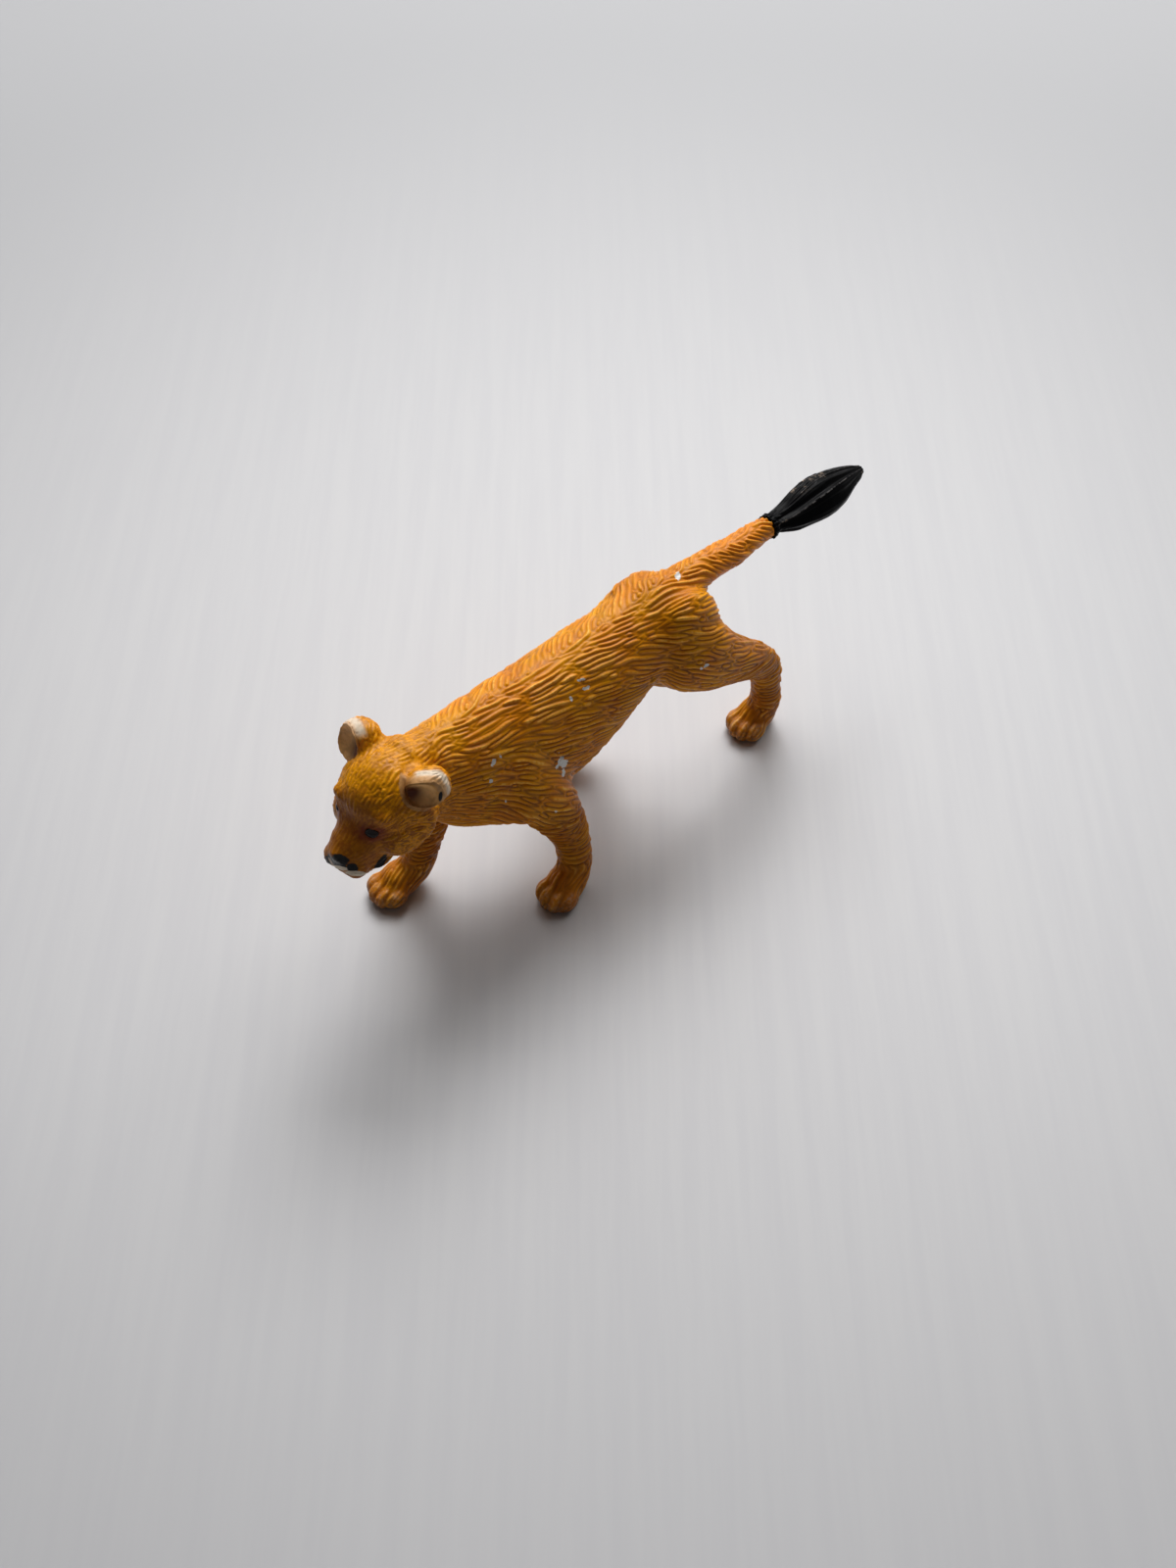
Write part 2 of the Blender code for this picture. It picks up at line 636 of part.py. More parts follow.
def carve_face(head, helpers):
    """Hollows the ears, sets an eye in each socket and runs the mouth line round the muzzle."""
    placing = head_placing()
    hollows = bmesh.new()
    eyes = bmesh.new()
    for side in (1, -1):
        centre, turn = ear_frame(side)
        forward = turn @ Vector((0, -EAR_HOLLOW_SHARE * EAR_THICKNESS, 0))
        radii = (EAR_WIDTH / 2 - EAR_RIM, EAR_HOLLOW_DEPTH_SHARE * EAR_THICKNESS, EAR_HEIGHT / 2 - EAR_RIM)
        add_ball(hollows, centre + forward, radii, turn, placing)
        eye = on_head((side * EYE_SHARES[0], *EYE_SHARES[1:]))
        forward = Vector((0, -EYE_SOCKET_ADVANCE, 0))
        add_ball(hollows, eye + forward, [EYE_DIAMETER / 2 + EYE_SOCKET_MARGIN] * 3, placing=placing)
        add_ball(eyes, eye, [EYE_DIAMETER / 2] * 3, placing=placing)
    boolean(head, "DIFFERENCE", hide_helper(new_object("ear_and_eye_hollows", hollows, helpers)))
    boolean(head, "UNION", hide_helper(new_object("eyes", eyes, helpers)))
    line = bmesh.new()
    left = np.array([(*on_head(row), row[3], row[3]) for row in LIP_SHARES])
    left[:, 3:] *= MOUTH_LINE_WIDTH
    right = left[-2::-1] * (-1, 1, 1, 1, 1)
    add_tube(line, np.concatenate((left, right)), sides=8, steps=2, upright=(0, 0, 1), placing=placing)
    boolean(head, "DIFFERENCE", hide_helper(new_object("mouth_line", line, helpers)))


def make_tail(form_mesh, parts, helpers, torso_cutters):
    seat, end = tail_plug(), tail_end()
    obj = casting("tail", form_mesh, seat, parts)
    boolean(obj, "INTERSECT", tail_region("tail_region", 0, end.y, helpers))
    boolean(obj, "UNION", peg("tail_peg", seat, (0, -1, 0), TAIL_PEG_LENGTH, TAIL_PEG_DIAMETER, 0, helpers))
    socket = peg("tuft_socket", end, (0, -1, 0), TUFT_PEG_LENGTH, TUFT_PEG_DIAMETER, SEAM_GAP, helpers)
    boolean(obj, "DIFFERENCE", socket)
    tail_region("tail_clearance", SEAM_GAP, end.y + TUFT_LENGTH, torso_cutters)
    peg("tail_socket", seat, (0, -1, 0), TAIL_PEG_LENGTH, TAIL_PEG_DIAMETER, SEAM_GAP, torso_cutters)


def make_tuft(parts, helpers):
    """The tuft's locks run lengthwise as ribs, drawn in to a neck at the tail and to a blunt point behind."""
    rows = np.array(TUFT_SHARES) * (TUFT_LENGTH, -TUFT_WIDTH, TUFT_WIDTH, TUFT_WIDTH)
    seat = tail_end() + Vector((0, SEAM_GAP, 0))
    bm = bmesh.new()
    rows = np.insert(rows, 0, 0, axis=1)
    add_tube(bm, rows, sides=4 * TUFT_LOCKS, steps=2, locks=TUFT_LOCKS, lock_share=LOCK_DEPTH_SHARE)
    obj = new_object("tail_tuft", bm, parts)
    obj.location = seat
    length = TUFT_PEG_LENGTH + SEAM_GAP
    boolean(obj, "UNION", peg("tuft_peg", seat, (0, -1, 0), length, TUFT_PEG_DIAMETER, 0, helpers))
    return obj


def make_torso(form_mesh, parts, torso_cutters):
    obj = casting("torso", form_mesh, Vector((0, 0, 0)), parts)
    boolean(obj, "DIFFERENCE", torso_cutters)
    return obj


def centre_over_origin(form_mesh, tuft, root):
    """Moves the whole animal so that the middle of its box stands on the origin."""
    points = [vert.co for vert in form_mesh.vertices]
    points += [vert.co + tuft.location for vert in tuft.data.vertices]
    low = [min(p[k] for p in points) for k in range(2)]
    end = tuft.location.y + TUFT_LENGTH
    high = [max(p[k] for p in points if p.y <= end) for k in range(2)]
    root.location = (-(low[0] + high[0]) / 2, -(low[1] + high[1]) / 2, 0)


def main():
    clear_scene()
    parts = new_collection("toy_lion_cub")
    helpers = new_collection("cutters")
    torso_cutters = new_collection("torso_cutters")
    form_mesh = evaluated_mesh(sculpt(helpers))

    make_torso(form_mesh, parts, torso_cutters)
    make_head(form_mesh, parts, helpers, torso_cutters)
    make_legs(form_mesh, parts, helpers, torso_cutters)
    make_tail(form_mesh, parts, helpers, torso_cutters)
    tuft = make_tuft(parts, helpers)

    coat = (0.72, 0.36, 0.05)
    for obj in parts.objects:
        obj.data.shade_smooth()
        paint(obj, coat, 0.5)
    paint(tuft, (0.01, 0.01, 0.01), 0.25)

    root = bpy.data.objects.new("toy_lion_cub_origin", None)
    bpy.context.scene.collection.objects.link(root)
    for collection in (parts, helpers, torso_cutters):
        for obj in collection.objects:
            obj.parent = root
    centre_over_origin(form_mesh, tuft, root)


main()
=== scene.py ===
"""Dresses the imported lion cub: fur, painted face and paws, glossy tail tuft, floor, light and camera."""
import math

import bmesh
import bpy
import numpy as np
from mathutils import Matrix, Vector, noise
from mathutils.bvhtree import BVHTree
from mathutils.kdtree import KDTree


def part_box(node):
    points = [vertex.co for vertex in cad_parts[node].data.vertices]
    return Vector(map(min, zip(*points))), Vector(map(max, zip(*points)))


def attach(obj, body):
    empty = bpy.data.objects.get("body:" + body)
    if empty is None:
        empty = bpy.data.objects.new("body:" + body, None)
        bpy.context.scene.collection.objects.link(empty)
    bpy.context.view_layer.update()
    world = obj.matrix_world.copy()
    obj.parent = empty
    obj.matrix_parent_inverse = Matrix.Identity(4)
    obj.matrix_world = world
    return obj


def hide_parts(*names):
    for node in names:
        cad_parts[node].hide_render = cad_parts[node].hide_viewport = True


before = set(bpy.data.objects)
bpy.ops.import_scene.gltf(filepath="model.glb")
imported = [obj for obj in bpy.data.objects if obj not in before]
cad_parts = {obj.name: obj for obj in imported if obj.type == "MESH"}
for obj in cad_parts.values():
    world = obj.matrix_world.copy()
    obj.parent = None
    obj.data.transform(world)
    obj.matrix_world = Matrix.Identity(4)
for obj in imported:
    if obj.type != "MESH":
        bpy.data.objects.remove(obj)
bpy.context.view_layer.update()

MM = 0.001
COAT_NODES = ("torso", "head", "left_foreleg", "right_foreleg", "left_hind_leg", "right_hind_leg", "tail")
FORELEGS = ("left_foreleg", "right_foreleg")
HIND_LEGS = ("left_hind_leg", "right_hind_leg")
WELD = 0.001 * MM

# The skin: the castings grown together over their seams, remeshed, evened out and shrunk back.
SKIN_GRAIN = 0.14 * MM
SKIN_GROWTH = 0.3 * MM
FACET_SPAN = 1.5 * MM
DETAIL_SPAN = 0.7 * MM

# The photograph's frame and the camera behind it.
IMAGE_WIDTH, IMAGE_HEIGHT = 1200, 1600
FOCAL_PIXELS = 1900
SENSOR = 36
CAMERA_PLACE = Vector((111.424, -110.370, 185.092)) * MM
CAMERA_AIM = Vector((-0.4721065, 0.44391904, -0.76161102))
CAMERA_UP = Vector((-0.55484937, 0.52172169, 0.64803445))
CAMERA_RIGHT = CAMERA_AIM.cross(CAMERA_UP)

# The head's own frame: its middle over the neck, turned to the figure's right.
HEAD_TURN = math.radians(9)
HEAD_PLACE = Vector((-1.228, -34.452, 31.2)) * MM
HEAD_FRAME = Matrix.Translation(HEAD_PLACE) @ Matrix.Rotation(HEAD_TURN, 4, "Z")
EYE_PLACE = Vector((2.44, -6.02, -4.58)) * MM
EYE_LENGTH, EYE_HEIGHT, EYE_DEPTH = 1.6 * MM, 1.3 * MM, 0.8 * MM
FAR_EYE_SHIFT, FAR_EYE_SHARE = 0.5 * MM, 0.65
EYE_SEAT = 0.08 * MM
SOCKET_RADII, SOCKET_DEPTH = (1.10 * MM, 0.80 * MM, 1.5 * MM), 0.36 * MM
LID_RADII, LID_RISE = (1.55 * MM, 1.25 * MM, 1.6 * MM), 0.18 * MM
LIP_WIDTH, LIP_DEPTH = 0.42 * MM, 0.34 * MM
EAR_PLACE = Vector((5.10, 1.12, -0.54)) * MM
EAR_TURN, EAR_TILT = math.radians(25), math.radians(-10)
EAR_RADIUS = 2.6 * MM
EAR_FILL = 0.95 * MM
# The left ear and the right one, and how far back the pale worn rim of each runs.
EAR_RIMS = ((1, 0.70 * MM), (-1, 0.15 * MM))
LIP_LINE = (
    (3.30, -4.60, -9.45),
    (3.15, -5.60, -9.77),
    (2.70, -6.80, -9.95),
    (2.45, -7.80, -10.00),
    (2.20, -8.70, -10.00),
    (1.20, -9.35, -9.90),
    (0.00, -9.15, -9.83),
)
NOSE_TIP = (0.0, -9.9, -8.0)
NOSE_RADII = (1.5 * MM, 1.6 * MM, 0.7 * MM)

# Paws: where each stands and the way its toes point, in degrees; the gaps between toes and the toe tips.
PAWS = {
    "left_foreleg": (7.38, -16.49, 15),
    "right_foreleg": (-7.13, -31.17, 5),
    "left_hind_leg": (3.97, 21.03, 8),
    "right_hind_leg": (-7.73, -4.37, -3),
}
TOE_GAPS = (-1.35 * MM, 0.0, 1.35 * MM)
TOE_GAP_WIDTH = 0.34 * MM
TOE_GAP_DEPTH = 0.11 * MM
TOE_TIPS = ((-2.1 * MM, -3.7 * MM), (-0.75 * MM, -4.5 * MM), (0.75 * MM, -4.5 * MM), (2.1 * MM, -3.7 * MM))
CLAW_HEIGHT, CLAW_RADII = 1.0 * MM, (0.34 * MM, 0.8 * MM, 0.42 * MM)
KNUCKLE_BACK, KNUCKLE_HEIGHT, KNUCKLE_RADII = 1.3 * MM, 2.0 * MM, (0.8 * MM, 1.3 * MM, 1.1 * MM)
KNUCKLE_RISE = 0.10 * MM

# Fur cords: spacing, length and relief on the trunk. Other places take shares of them.
CORD_PITCH = 0.52 * MM
CORD_LENGTH = 11 * MM
CORD_RELIEF = 0.33 * MM
CORD_STEP = 0.2 * MM
# Two passes of combing: long cords first, then short ones in what is left between them. Each row holds the
# clear space about a seed and about a growing cord, in pitches, and a cord's shortest share of its length.
COMBING = ((1.0, 0.72, 0.45), (0.88, 0.62, 0.06))
# A cord's ends count as farther away than they are, by up to this many pitches, so that they run to a point.
END_TAPER = 0.55
# Where no cord lies near, the skin stays at this share of a cord's height.
GAP_LEVEL = 0.38
# The share of a cord's height at which the skin keeps its place.
LEVEL = 0.45
NEAR_SAMPLES = 18

rng = np.random.default_rng(11)


# ------------ mesh work
def cad_copy(node):
    """One CAD node as welded bmesh in the row frame."""
    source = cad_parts[node]
    bm = bmesh.new()
    bm.from_mesh(source.data)
    bm.transform(source.matrix_world)
    bmesh.ops.remove_doubles(bm, verts=bm.verts, dist=WELD)
    bm.normal_update()
    return bm


def new_object(name, data):
    obj = bpy.data.objects.new(name, data)
    bpy.context.scene.collection.objects.link(obj)
    return obj


def mesh_from(bm, name, smooth=False):
    """A finished bmesh as a mesh."""
    mesh = bpy.data.meshes.new(name)
    bm.to_mesh(mesh)
    bm.free()
    mesh.polygons.foreach_set("use_smooth", [smooth] * len(mesh.polygons))
    return mesh


def write_shares(mesh, name, values):
    """One value for each vertex, for a paint to read."""
    layer = mesh.attributes.new(name, "FLOAT", "POINT")
    layer.data.foreach_set("value", np.array(values, dtype=float))


def arrays(mesh):
    """Vertex places and four-cornered faces of a remeshed mesh."""
    places = np.empty(len(mesh.vertices) * 3)
    mesh.vertices.foreach_get("co", places)
    corners = np.empty(len(mesh.loops), dtype=np.int64)
    mesh.loops.foreach_get("vertex_index", corners)
    return places.reshape(-1, 3), corners.reshape(-1, 4)


def grown_skin():
    """The castings as one closed skin."""
    joined = bmesh.new()
    for node in COAT_NODES:
        bm = cad_copy(node)
        for vertex in bm.verts:
            vertex.co += vertex.normal * SKIN_GROWTH
        mesh = mesh_from(bm, node + "_grown")
        joined.from_mesh(mesh)
        bpy.data.meshes.remove(mesh)
    obj = new_object("grown", mesh_from(joined, "grown"))
    remesh = obj.modifiers.new("fuse", "REMESH")
    remesh.mode = "VOXEL"
    remesh.voxel_size = SKIN_GRAIN
    fused = bpy.data.meshes.new_from_object(obj.evaluated_get(bpy.context.evaluated_depsgraph_get()))
    bpy.data.objects.remove(obj)
    places, quads = arrays(fused)
    bpy.data.meshes.remove(fused)
    return largest_shell(places, quads)


def groups_of(count, links):
    """A group number for each of count things, joined by the links between pairs of them."""
    group = np.arange(count)
    a, b = links.T
    while True:
        low = np.minimum(group[a], group[b])
        new = group.copy()
        np.minimum.at(new, a, low)
        np.minimum.at(new, b, low)
        new = new[new]
        new = new[new]
        if (new == group).all():
            return group
        group = new


def sides_of(quads):
    """The four sides of each face, as pairs of vertex numbers in the face's order."""
    return np.concatenate([quads[:, (i, (i + 1) % 4)] for i in range(4)])


def edges_of(quads):
    """Each edge once, as a pair of vertex numbers."""
    pairs = sides_of(quads)
    pairs.sort(axis=1)
    key = np.unique(pairs[:, 0] * (quads.max() + 1) + pairs[:, 1])
    return np.stack((key // (quads.max() + 1), key % (quads.max() + 1)), axis=1)


def largest_shell(places, quads):
    group = groups_of(len(places), edges_of(quads))
    outer = np.bincount(group).argmax()
    keep = group == outer
    number = np.cumsum(keep) - 1
    return places[keep], number[quads[keep[quads[:, 0]]]]


def vertex_normals(places, quads):
    corner = places[quads]
    across = np.cross(corner[:, 2] - corner[:, 0], corner[:, 3] - corner[:, 1])
    total = np.zeros_like(places)
    for axis in range(3):
        for i in range(4):
            total[:, axis] += np.bincount(quads[:, i], weights=across[:, axis], minlength=len(places))
    return total / np.maximum(np.linalg.norm(total, axis=1, keepdims=True), 1e-20)


class Net:
    """The skin's edges, for evening out values from neighbour to neighbour."""

    def __init__(self, quads, count):
        self.a, self.b = edges_of(quads).T
        self.count = count
        degree = np.bincount(self.a, minlength=count) + np.bincount(self.b, minlength=count)
        self.degree = np.maximum(degree, 1)

    def mean(self, column):
        total = np.bincount(self.a, weights=column[self.b], minlength=self.count)
        total += np.bincount(self.b, weights=column[self.a], minlength=self.count)
        return total / self.degree

    def relax(self, values, rounds, pull=0.5):
        values = np.array(values, dtype=float)
        table = values.reshape(self.count, -1)
        for _ in range(rounds):
            for k in range(table.shape[1]):
                table[:, k] += (self.mean(table[:, k]) - table[:, k]) * pull
        return values


def rounds_for(span):
    """How many rounds of relaxing even out anything narrower than this span."""
    return int(round(0.8 * (span / SKIN_GRAIN) ** 2))


def relaxed_near(values, near, rounds, pull):
    """Values relaxed only where near is true; pull has to fall to zero at the edge of that area."""
    inside = np.nonzero(near)[0]
    number = np.full(len(values), -1)
    number[inside] = np.arange(len(inside))
    local = number[quads]
    small = Net(local[(local >= 0).all(axis=1)], len(inside))
    values = values.copy()
    values[inside] = small.relax(values[inside], rounds, pull[inside])
    return values


def kd_of(places):
    tree = KDTree(len(places))
    for i, place in enumerate(places):
        tree.insert(place, i)
    tree.balance()
    return tree


def ramp(low, high, values):
    t = np.clip((values - low) / (high - low), 0, 1)
    return t * t * (3 - 2 * t)


def ripple(places, size, seed):
    """Soft noise from -1 to 1, with lumps of about the given size."""
    shift = Vector((seed * 3.7, seed * 1.9, seed * 5.3))
    return np.array([noise.noise(Vector(p) / size + shift) for p in places])


def lengths(vectors):
    return np.linalg.norm(vectors, axis=1)


def unit(vectors):
    return vectors / np.maximum(np.linalg.norm(vectors, axis=-1, keepdims=True), 1e-12)


# ------------ skin and its zones
skin, quads = grown_skin()
net = Net(quads, len(skin))
normals = net.relax(vertex_normals(skin, quads), 2)
skin -= unit(normals) * SKIN_GROWTH


def evened(places, span):
    """Places with anything narrower than the span evened out, without shrinking the form."""
    rounds = rounds_for(span)
    even = net.relax(places, rounds)
    return even + net.relax(places - even, rounds // 2)


# Paws and head keep finer forms than the rest.
head_low, head_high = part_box("head")
fine_head = ramp(head_high.y - 1 * MM, head_high.y - 5 * MM, skin[:, 1])
fine_head = fine_head * ramp(head_low.z - 1 * MM, head_low.z + 1 * MM, skin[:, 2])
fine_form = np.maximum(0.4 * ramp(6 * MM, 4 * MM, skin[:, 2]), fine_head)[:, None]
skin = evened(skin, FACET_SPAN) * (1 - fine_form) + evened(skin, DETAIL_SPAN) * fine_form
skin[:, 2] = np.maximum(skin[:, 2], 0)


def nearest_nodes(places):
    """For each place, the COAT_NODES number of the casting it lies on."""
    nearest = np.full(len(places), np.inf)
    owner = np.zeros(len(places), dtype=int)
    for number, node in enumerate(COAT_NODES):
        bm = cad_copy(node)
        tree = BVHTree.FromBMesh(bm)
        low, high = (np.array(corner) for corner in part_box(node))
        margin = 2 * MM
        inside = ((places > low - margin) & (places < high + margin)).all(axis=1)
        for i in np.nonzero(inside)[0]:
            far = tree.find_nearest(places[i])[3]
            if far < nearest[i]:
                nearest[i] = far
                owner[i] = number
        bm.free()
    return owner


owner = nearest_nodes(skin)
on = {node: owner == number for number, node in enumerate(COAT_NODES)}


def softly(mask, span):
    """A mask evened out over the span: 1 well inside, 0 well outside."""
    return net.relax(mask.astype(float), rounds_for(span), 0.7)


def in_head(places):
    """Places in the head's own frame."""
    inverse = np.array(HEAD_FRAME.inverted())
    return places @ inverse[:3, :3].T + inverse[:3, 3]


def from_head(place):
    return HEAD_FRAME @ Vector(place)


def distance_to_line(places, points):
    """Distance from each place to a run of points, and how far along it the nearest point lies, 0 to 1."""
    points = np.array(points)
    best = np.full(len(places), np.inf)
    along = np.zeros(len(places))
    for i in range(len(points) - 1):
        start, run = points[i], points[i + 1] - points[i]
        t = np.clip(((places - start) @ run) / (run @ run), 0, 1)
        far = lengths(places - start - t[:, None] * run)
        closer = far < best
        best[closer] = far[closer]
        along[closer] = (i + t[closer]) / (len(points) - 1)
    return best, along


# ------------ face
head_places = in_head(skin)
is_head = on["head"]
for side in (-1, 1):
    eye = np.array(EYE_PLACE) * (side, 1, 1)
    far = lengths(head_places - eye)
    skin = relaxed_near(skin, far < 3 * MM, rounds_for(2.0 * MM), 0.5 * ramp(2.4 * MM, 1.2 * MM, far))
head_places = in_head(skin)
normals = unit(net.relax(vertex_normals(skin, quads), 3))


def dent(places_here, centre, radii, turn, depth):
    """How far each place sinks in an oval dent: depth at its middle, none at its edge."""
    local = (places_here - np.array(centre)) @ np.array(turn)
    r = lengths(local / np.array(radii))
    return depth * np.clip(1 - r * r, 0, 1) ** 1.2


skin_tree = BVHTree.FromPolygons([tuple(p) for p in skin], [tuple(q) for q in quads.tolist()])


def on_skin(place):
    """The nearest place on the skin and the normal there."""
    hit = skin_tree.find_nearest(Vector(place))
    return hit[0], hit[1]


def seen_at(px, py):
    """The place on the skin behind a pixel of the photograph, and the normal there."""
    right, up = px - IMAGE_WIDTH / 2, IMAGE_HEIGHT / 2 - py
    aim = CAMERA_AIM * FOCAL_PIXELS + CAMERA_RIGHT * right + CAMERA_UP * up
    hit = skin_tree.ray_cast(CAMERA_PLACE, aim.normalized())
    return hit[0], hit[1]


def upright_frame(normal, along):
    """Axes on the skin as matrix columns: along it, up it and out of it."""
    out = normal.normalized()
    first = (Vector(along) - out * out.dot(Vector(along))).normalized()
    return Matrix((first, out.cross(first), out)).transposed()


eyes = {}
for side, name, out in ((1, "left", 0), (-1, "right", FAR_EYE_SHIFT)):
    place, normal = on_skin(from_head(((EYE_PLACE.x + out) * side, EYE_PLACE.y + out, EYE_PLACE.z)))
    slant = HEAD_FRAME.to_3x3() @ Vector((0.55 * side, 0.85, -0.05))
    eyes[name] = (place, upright_frame(normal, slant))

sink = np.zeros(len(skin))
for place, turn in eyes.values():
    sink += dent(skin, place, SOCKET_RADII, turn, SOCKET_DEPTH)
    sink -= dent(skin, place, LID_RADII, turn, LID_RISE)
lip, lip_along = distance_to_line(np.abs(head_places) * (1, -1, -1), np.array(LIP_LINE) * MM)
lip_here = is_head & (head_places[:, 2] < -7 * MM)
sink += np.where(lip_here, LIP_DEPTH * np.clip(1 - (lip / LIP_WIDTH) ** 2, 0, 1), 0)
skin -= normals * sink[:, None]
skin = net.relax(skin, 2, 0.4 * is_head)

# ------------ paws
toe_gap = np.zeros(len(skin))
claw = np.zeros(len(skin))
knuckle = np.zeros(len(skin))
for node, (x, y, turn) in PAWS.items():
    angle = math.radians(turn)
    out = skin - np.array((x * MM, y * MM, 0))
    local = np.stack((out[:, 0] * math.cos(angle) + out[:, 1] * math.sin(angle),
                      out[:, 1] * math.cos(angle) - out[:, 0] * math.sin(angle), out[:, 2]), axis=1)
    ahead = ramp(-0.6 * MM, -2.0 * MM, local[:, 1]) * on[node]
    ahead = ahead * ramp(4.2 * MM, 3.2 * MM, local[:, 2])
    fan = 1 + 0.10 * np.clip(-local[:, 1] / MM - 3, -3, 3)
    for gap in TOE_GAPS:
        off = np.abs(local[:, 0] - gap * fan) / TOE_GAP_WIDTH
        toe_gap = np.maximum(toe_gap, ahead * np.clip(1 - off, 0, 1) ** 1.3)
    for toe_x, toe_y in TOE_TIPS:
        tip = lengths((local - np.array((toe_x, toe_y, CLAW_HEIGHT))) / CLAW_RADII)
        claw = np.maximum(claw, ramp(1.15, 0.8, tip) * on[node])
        top = np.array((toe_x, toe_y + KNUCKLE_BACK, KNUCKLE_HEIGHT))
        bump = lengths((local - top) / KNUCKLE_RADII)
        knuckle = np.maximum(knuckle, np.clip(1 - bump ** 2, 0, 1) * on[node])
skin -= normals * (toe_gap * TOE_GAP_DEPTH)[:, None]
skin += normals * (knuckle * KNUCKLE_RISE)[:, None]
skin[:, 2] = np.maximum(skin[:, 2], 0)

# ------------ fur
height = skin[:, 2]
trunk_low, trunk_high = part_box("torso")
middle = (trunk_low.x + trunk_high.x) / 2
side = skin[:, 0] - middle
upward = np.clip(normals[:, 2], 0, 1)[:, None]
nearside = ramp(-0.5 * MM, 0.5 * MM, side)[:, None]

near_back, near_flank = np.array((0.18, 1.0, 0.0)), np.array((0.0, 0.90, -0.43))
far_back, far_flank = np.array((-0.80, 0.70, 0.0)), np.array((0.0, 0.70, -0.70))
near = near_back * upward + near_flank * (1 - upward)
far = far_back * upward + far_flank * (1 - upward)
trunk_flow = near * nearside + far * (1 - nearside)
belly = ramp(-0.2, -0.7, normals[:, 2])[:, None]
trunk_flow = trunk_flow * (1 - belly) + np.array((0, 1, 0)) * belly

nose_place = from_head(Vector(NOSE_TIP) * MM)
head_flow = unit(skin - np.array(nose_place)) + np.array((0, 0, -0.35)) * (1 - upward)

ring = np.cross(np.array((0, 0, 1.0)), normals)
ring *= np.sign(ring[:, 1] + 1e-9)[:, None]
front_drop = np.array((0, 0.80, -0.60))
fore = ramp(11 * MM, 16 * MM, height)[:, None]
foreleg_flow = front_drop * fore + unit(ring) * (1 - fore)
hind_flow = near_flank * ramp(13 * MM, 19 * MM, height)[:, None]
hind_flow = hind_flow + unit(ring) * ramp(17 * MM, 12 * MM, height)[:, None]
paw = ramp(5.0 * MM, 3.5 * MM, height)[:, None]
toward_toes = np.array((0.1, -1.0, -0.5))
foreleg_flow = foreleg_flow * (1 - paw) + toward_toes * paw
hind_flow = hind_flow * (1 - paw) + toward_toes * paw

tail_low, tail_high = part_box("tail")
tail_root = skin[on["tail"] & (skin[:, 1] < tail_low.y + 4 * MM)].mean(axis=0)
tail_end = skin[on["tail"] & (skin[:, 1] > tail_high.y - 3 * MM)].mean(axis=0)
tail_axis = unit(tail_end - tail_root)
tail_across = unit(np.cross(tail_axis, (0, 0, 1.0)))
from_axis = skin - tail_root
tail_side = from_axis @ tail_across
tail_flow = tail_axis + tail_across * np.sign(tail_side)[:, None] * 0.9 * upward
tail_flow = tail_flow + np.array((0, 0, -0.9)) * (1 - np.abs(normals[:, 2:3]))

flow = np.zeros_like(skin)
flows = {"torso": trunk_flow, "head": head_flow, "tail": tail_flow}
flows.update({node: foreleg_flow for node in FORELEGS})
flows.update({node: hind_flow for node in HIND_LEGS})
for node, own_flow in flows.items():
    flow[on[node]] = own_flow[on[node]]


def along_skin(vectors):
    return unit(vectors - normals * (vectors * normals).sum(axis=1, keepdims=True))


flow = along_skin(net.relax(along_skin(flow), 10))
wander = ripple(skin, 3.2 * MM, 1) * 0.35 + ripple(skin, 1.1 * MM, 2) * 0.16
head_soft = softly(is_head, 3 * MM)
wander *= 1 + 1.2 * head_soft
flow = along_skin(flow + np.cross(normals, flow) * wander[:, None])

# ------------ ears, and the form as the photograph has it
ear_inside = np.zeros(len(skin))
ear_rim = np.zeros(len(skin))
ear_outer = np.zeros(len(skin))
filled = np.zeros_like(skin)
for hand, rim_back in EAR_RIMS:
    turn = Matrix.Rotation(hand * EAR_TURN, 3, "Z") @ Matrix.Rotation(EAR_TILT, 3, "X")
    local = (head_places - np.array(EAR_PLACE) * (hand, 1, 1)) @ np.array(turn)
    x, y, z = local[:, 0] * hand, local[:, 1], local[:, 2]
    far = lengths(local / (1.0, 1.3, 1.0)) / EAR_RADIUS
    face_on = -(normals @ np.array(HEAD_FRAME.to_3x3()) @ np.array(turn))[:, 1]
    ring_far = np.hypot(x, z) / EAR_RADIUS
    on_ear = far < 1.3
    front = ramp(1.5 * MM, 0.9 * MM, y) * on_ear
    hollow = ramp(0.94, 0.74, ring_far) * front * ramp(-0.3, 0.1, face_on)
    facing = -(HEAD_FRAME.to_3x3() @ turn).col[1]
    filled += np.outer(hollow * EAR_FILL, facing)
    # On the near ear the hollow's colour runs over the rim's front edge, and the pale band lies behind it.
    front_edge = ramp(-0.2 * MM, -0.7 * MM, y) * ramp(0.55, 0.75, ring_far)
    front_edge = front_edge * on_ear * (hand > 0)
    inside = ramp(0.98, 0.60, ring_far) * front * ramp(-0.3, 0.1, face_on)
    ear_inside = np.maximum(ear_inside, np.maximum(inside, 0.85 * front_edge))
    outward = np.clip((x * 0.75 + z) / EAR_RADIUS, -1, 1)
    band = ramp(0.76, 0.90, ring_far) * ramp(rim_back, rim_back - 0.5 * MM, y)
    band = band * (far < 1.4) * (1 - 0.9 * front_edge)
    ear_rim = np.maximum(ear_rim, band * ramp(0.1, 0.55, outward))
    from_dark = np.hypot(x / EAR_RADIUS + 0.5, z / EAR_RADIUS + 0.1)
    light = ramp(0.2, 0.85, from_dark) * on_ear * (1 - 0.45 * front_edge)
    ear_outer = np.maximum(ear_outer, light)

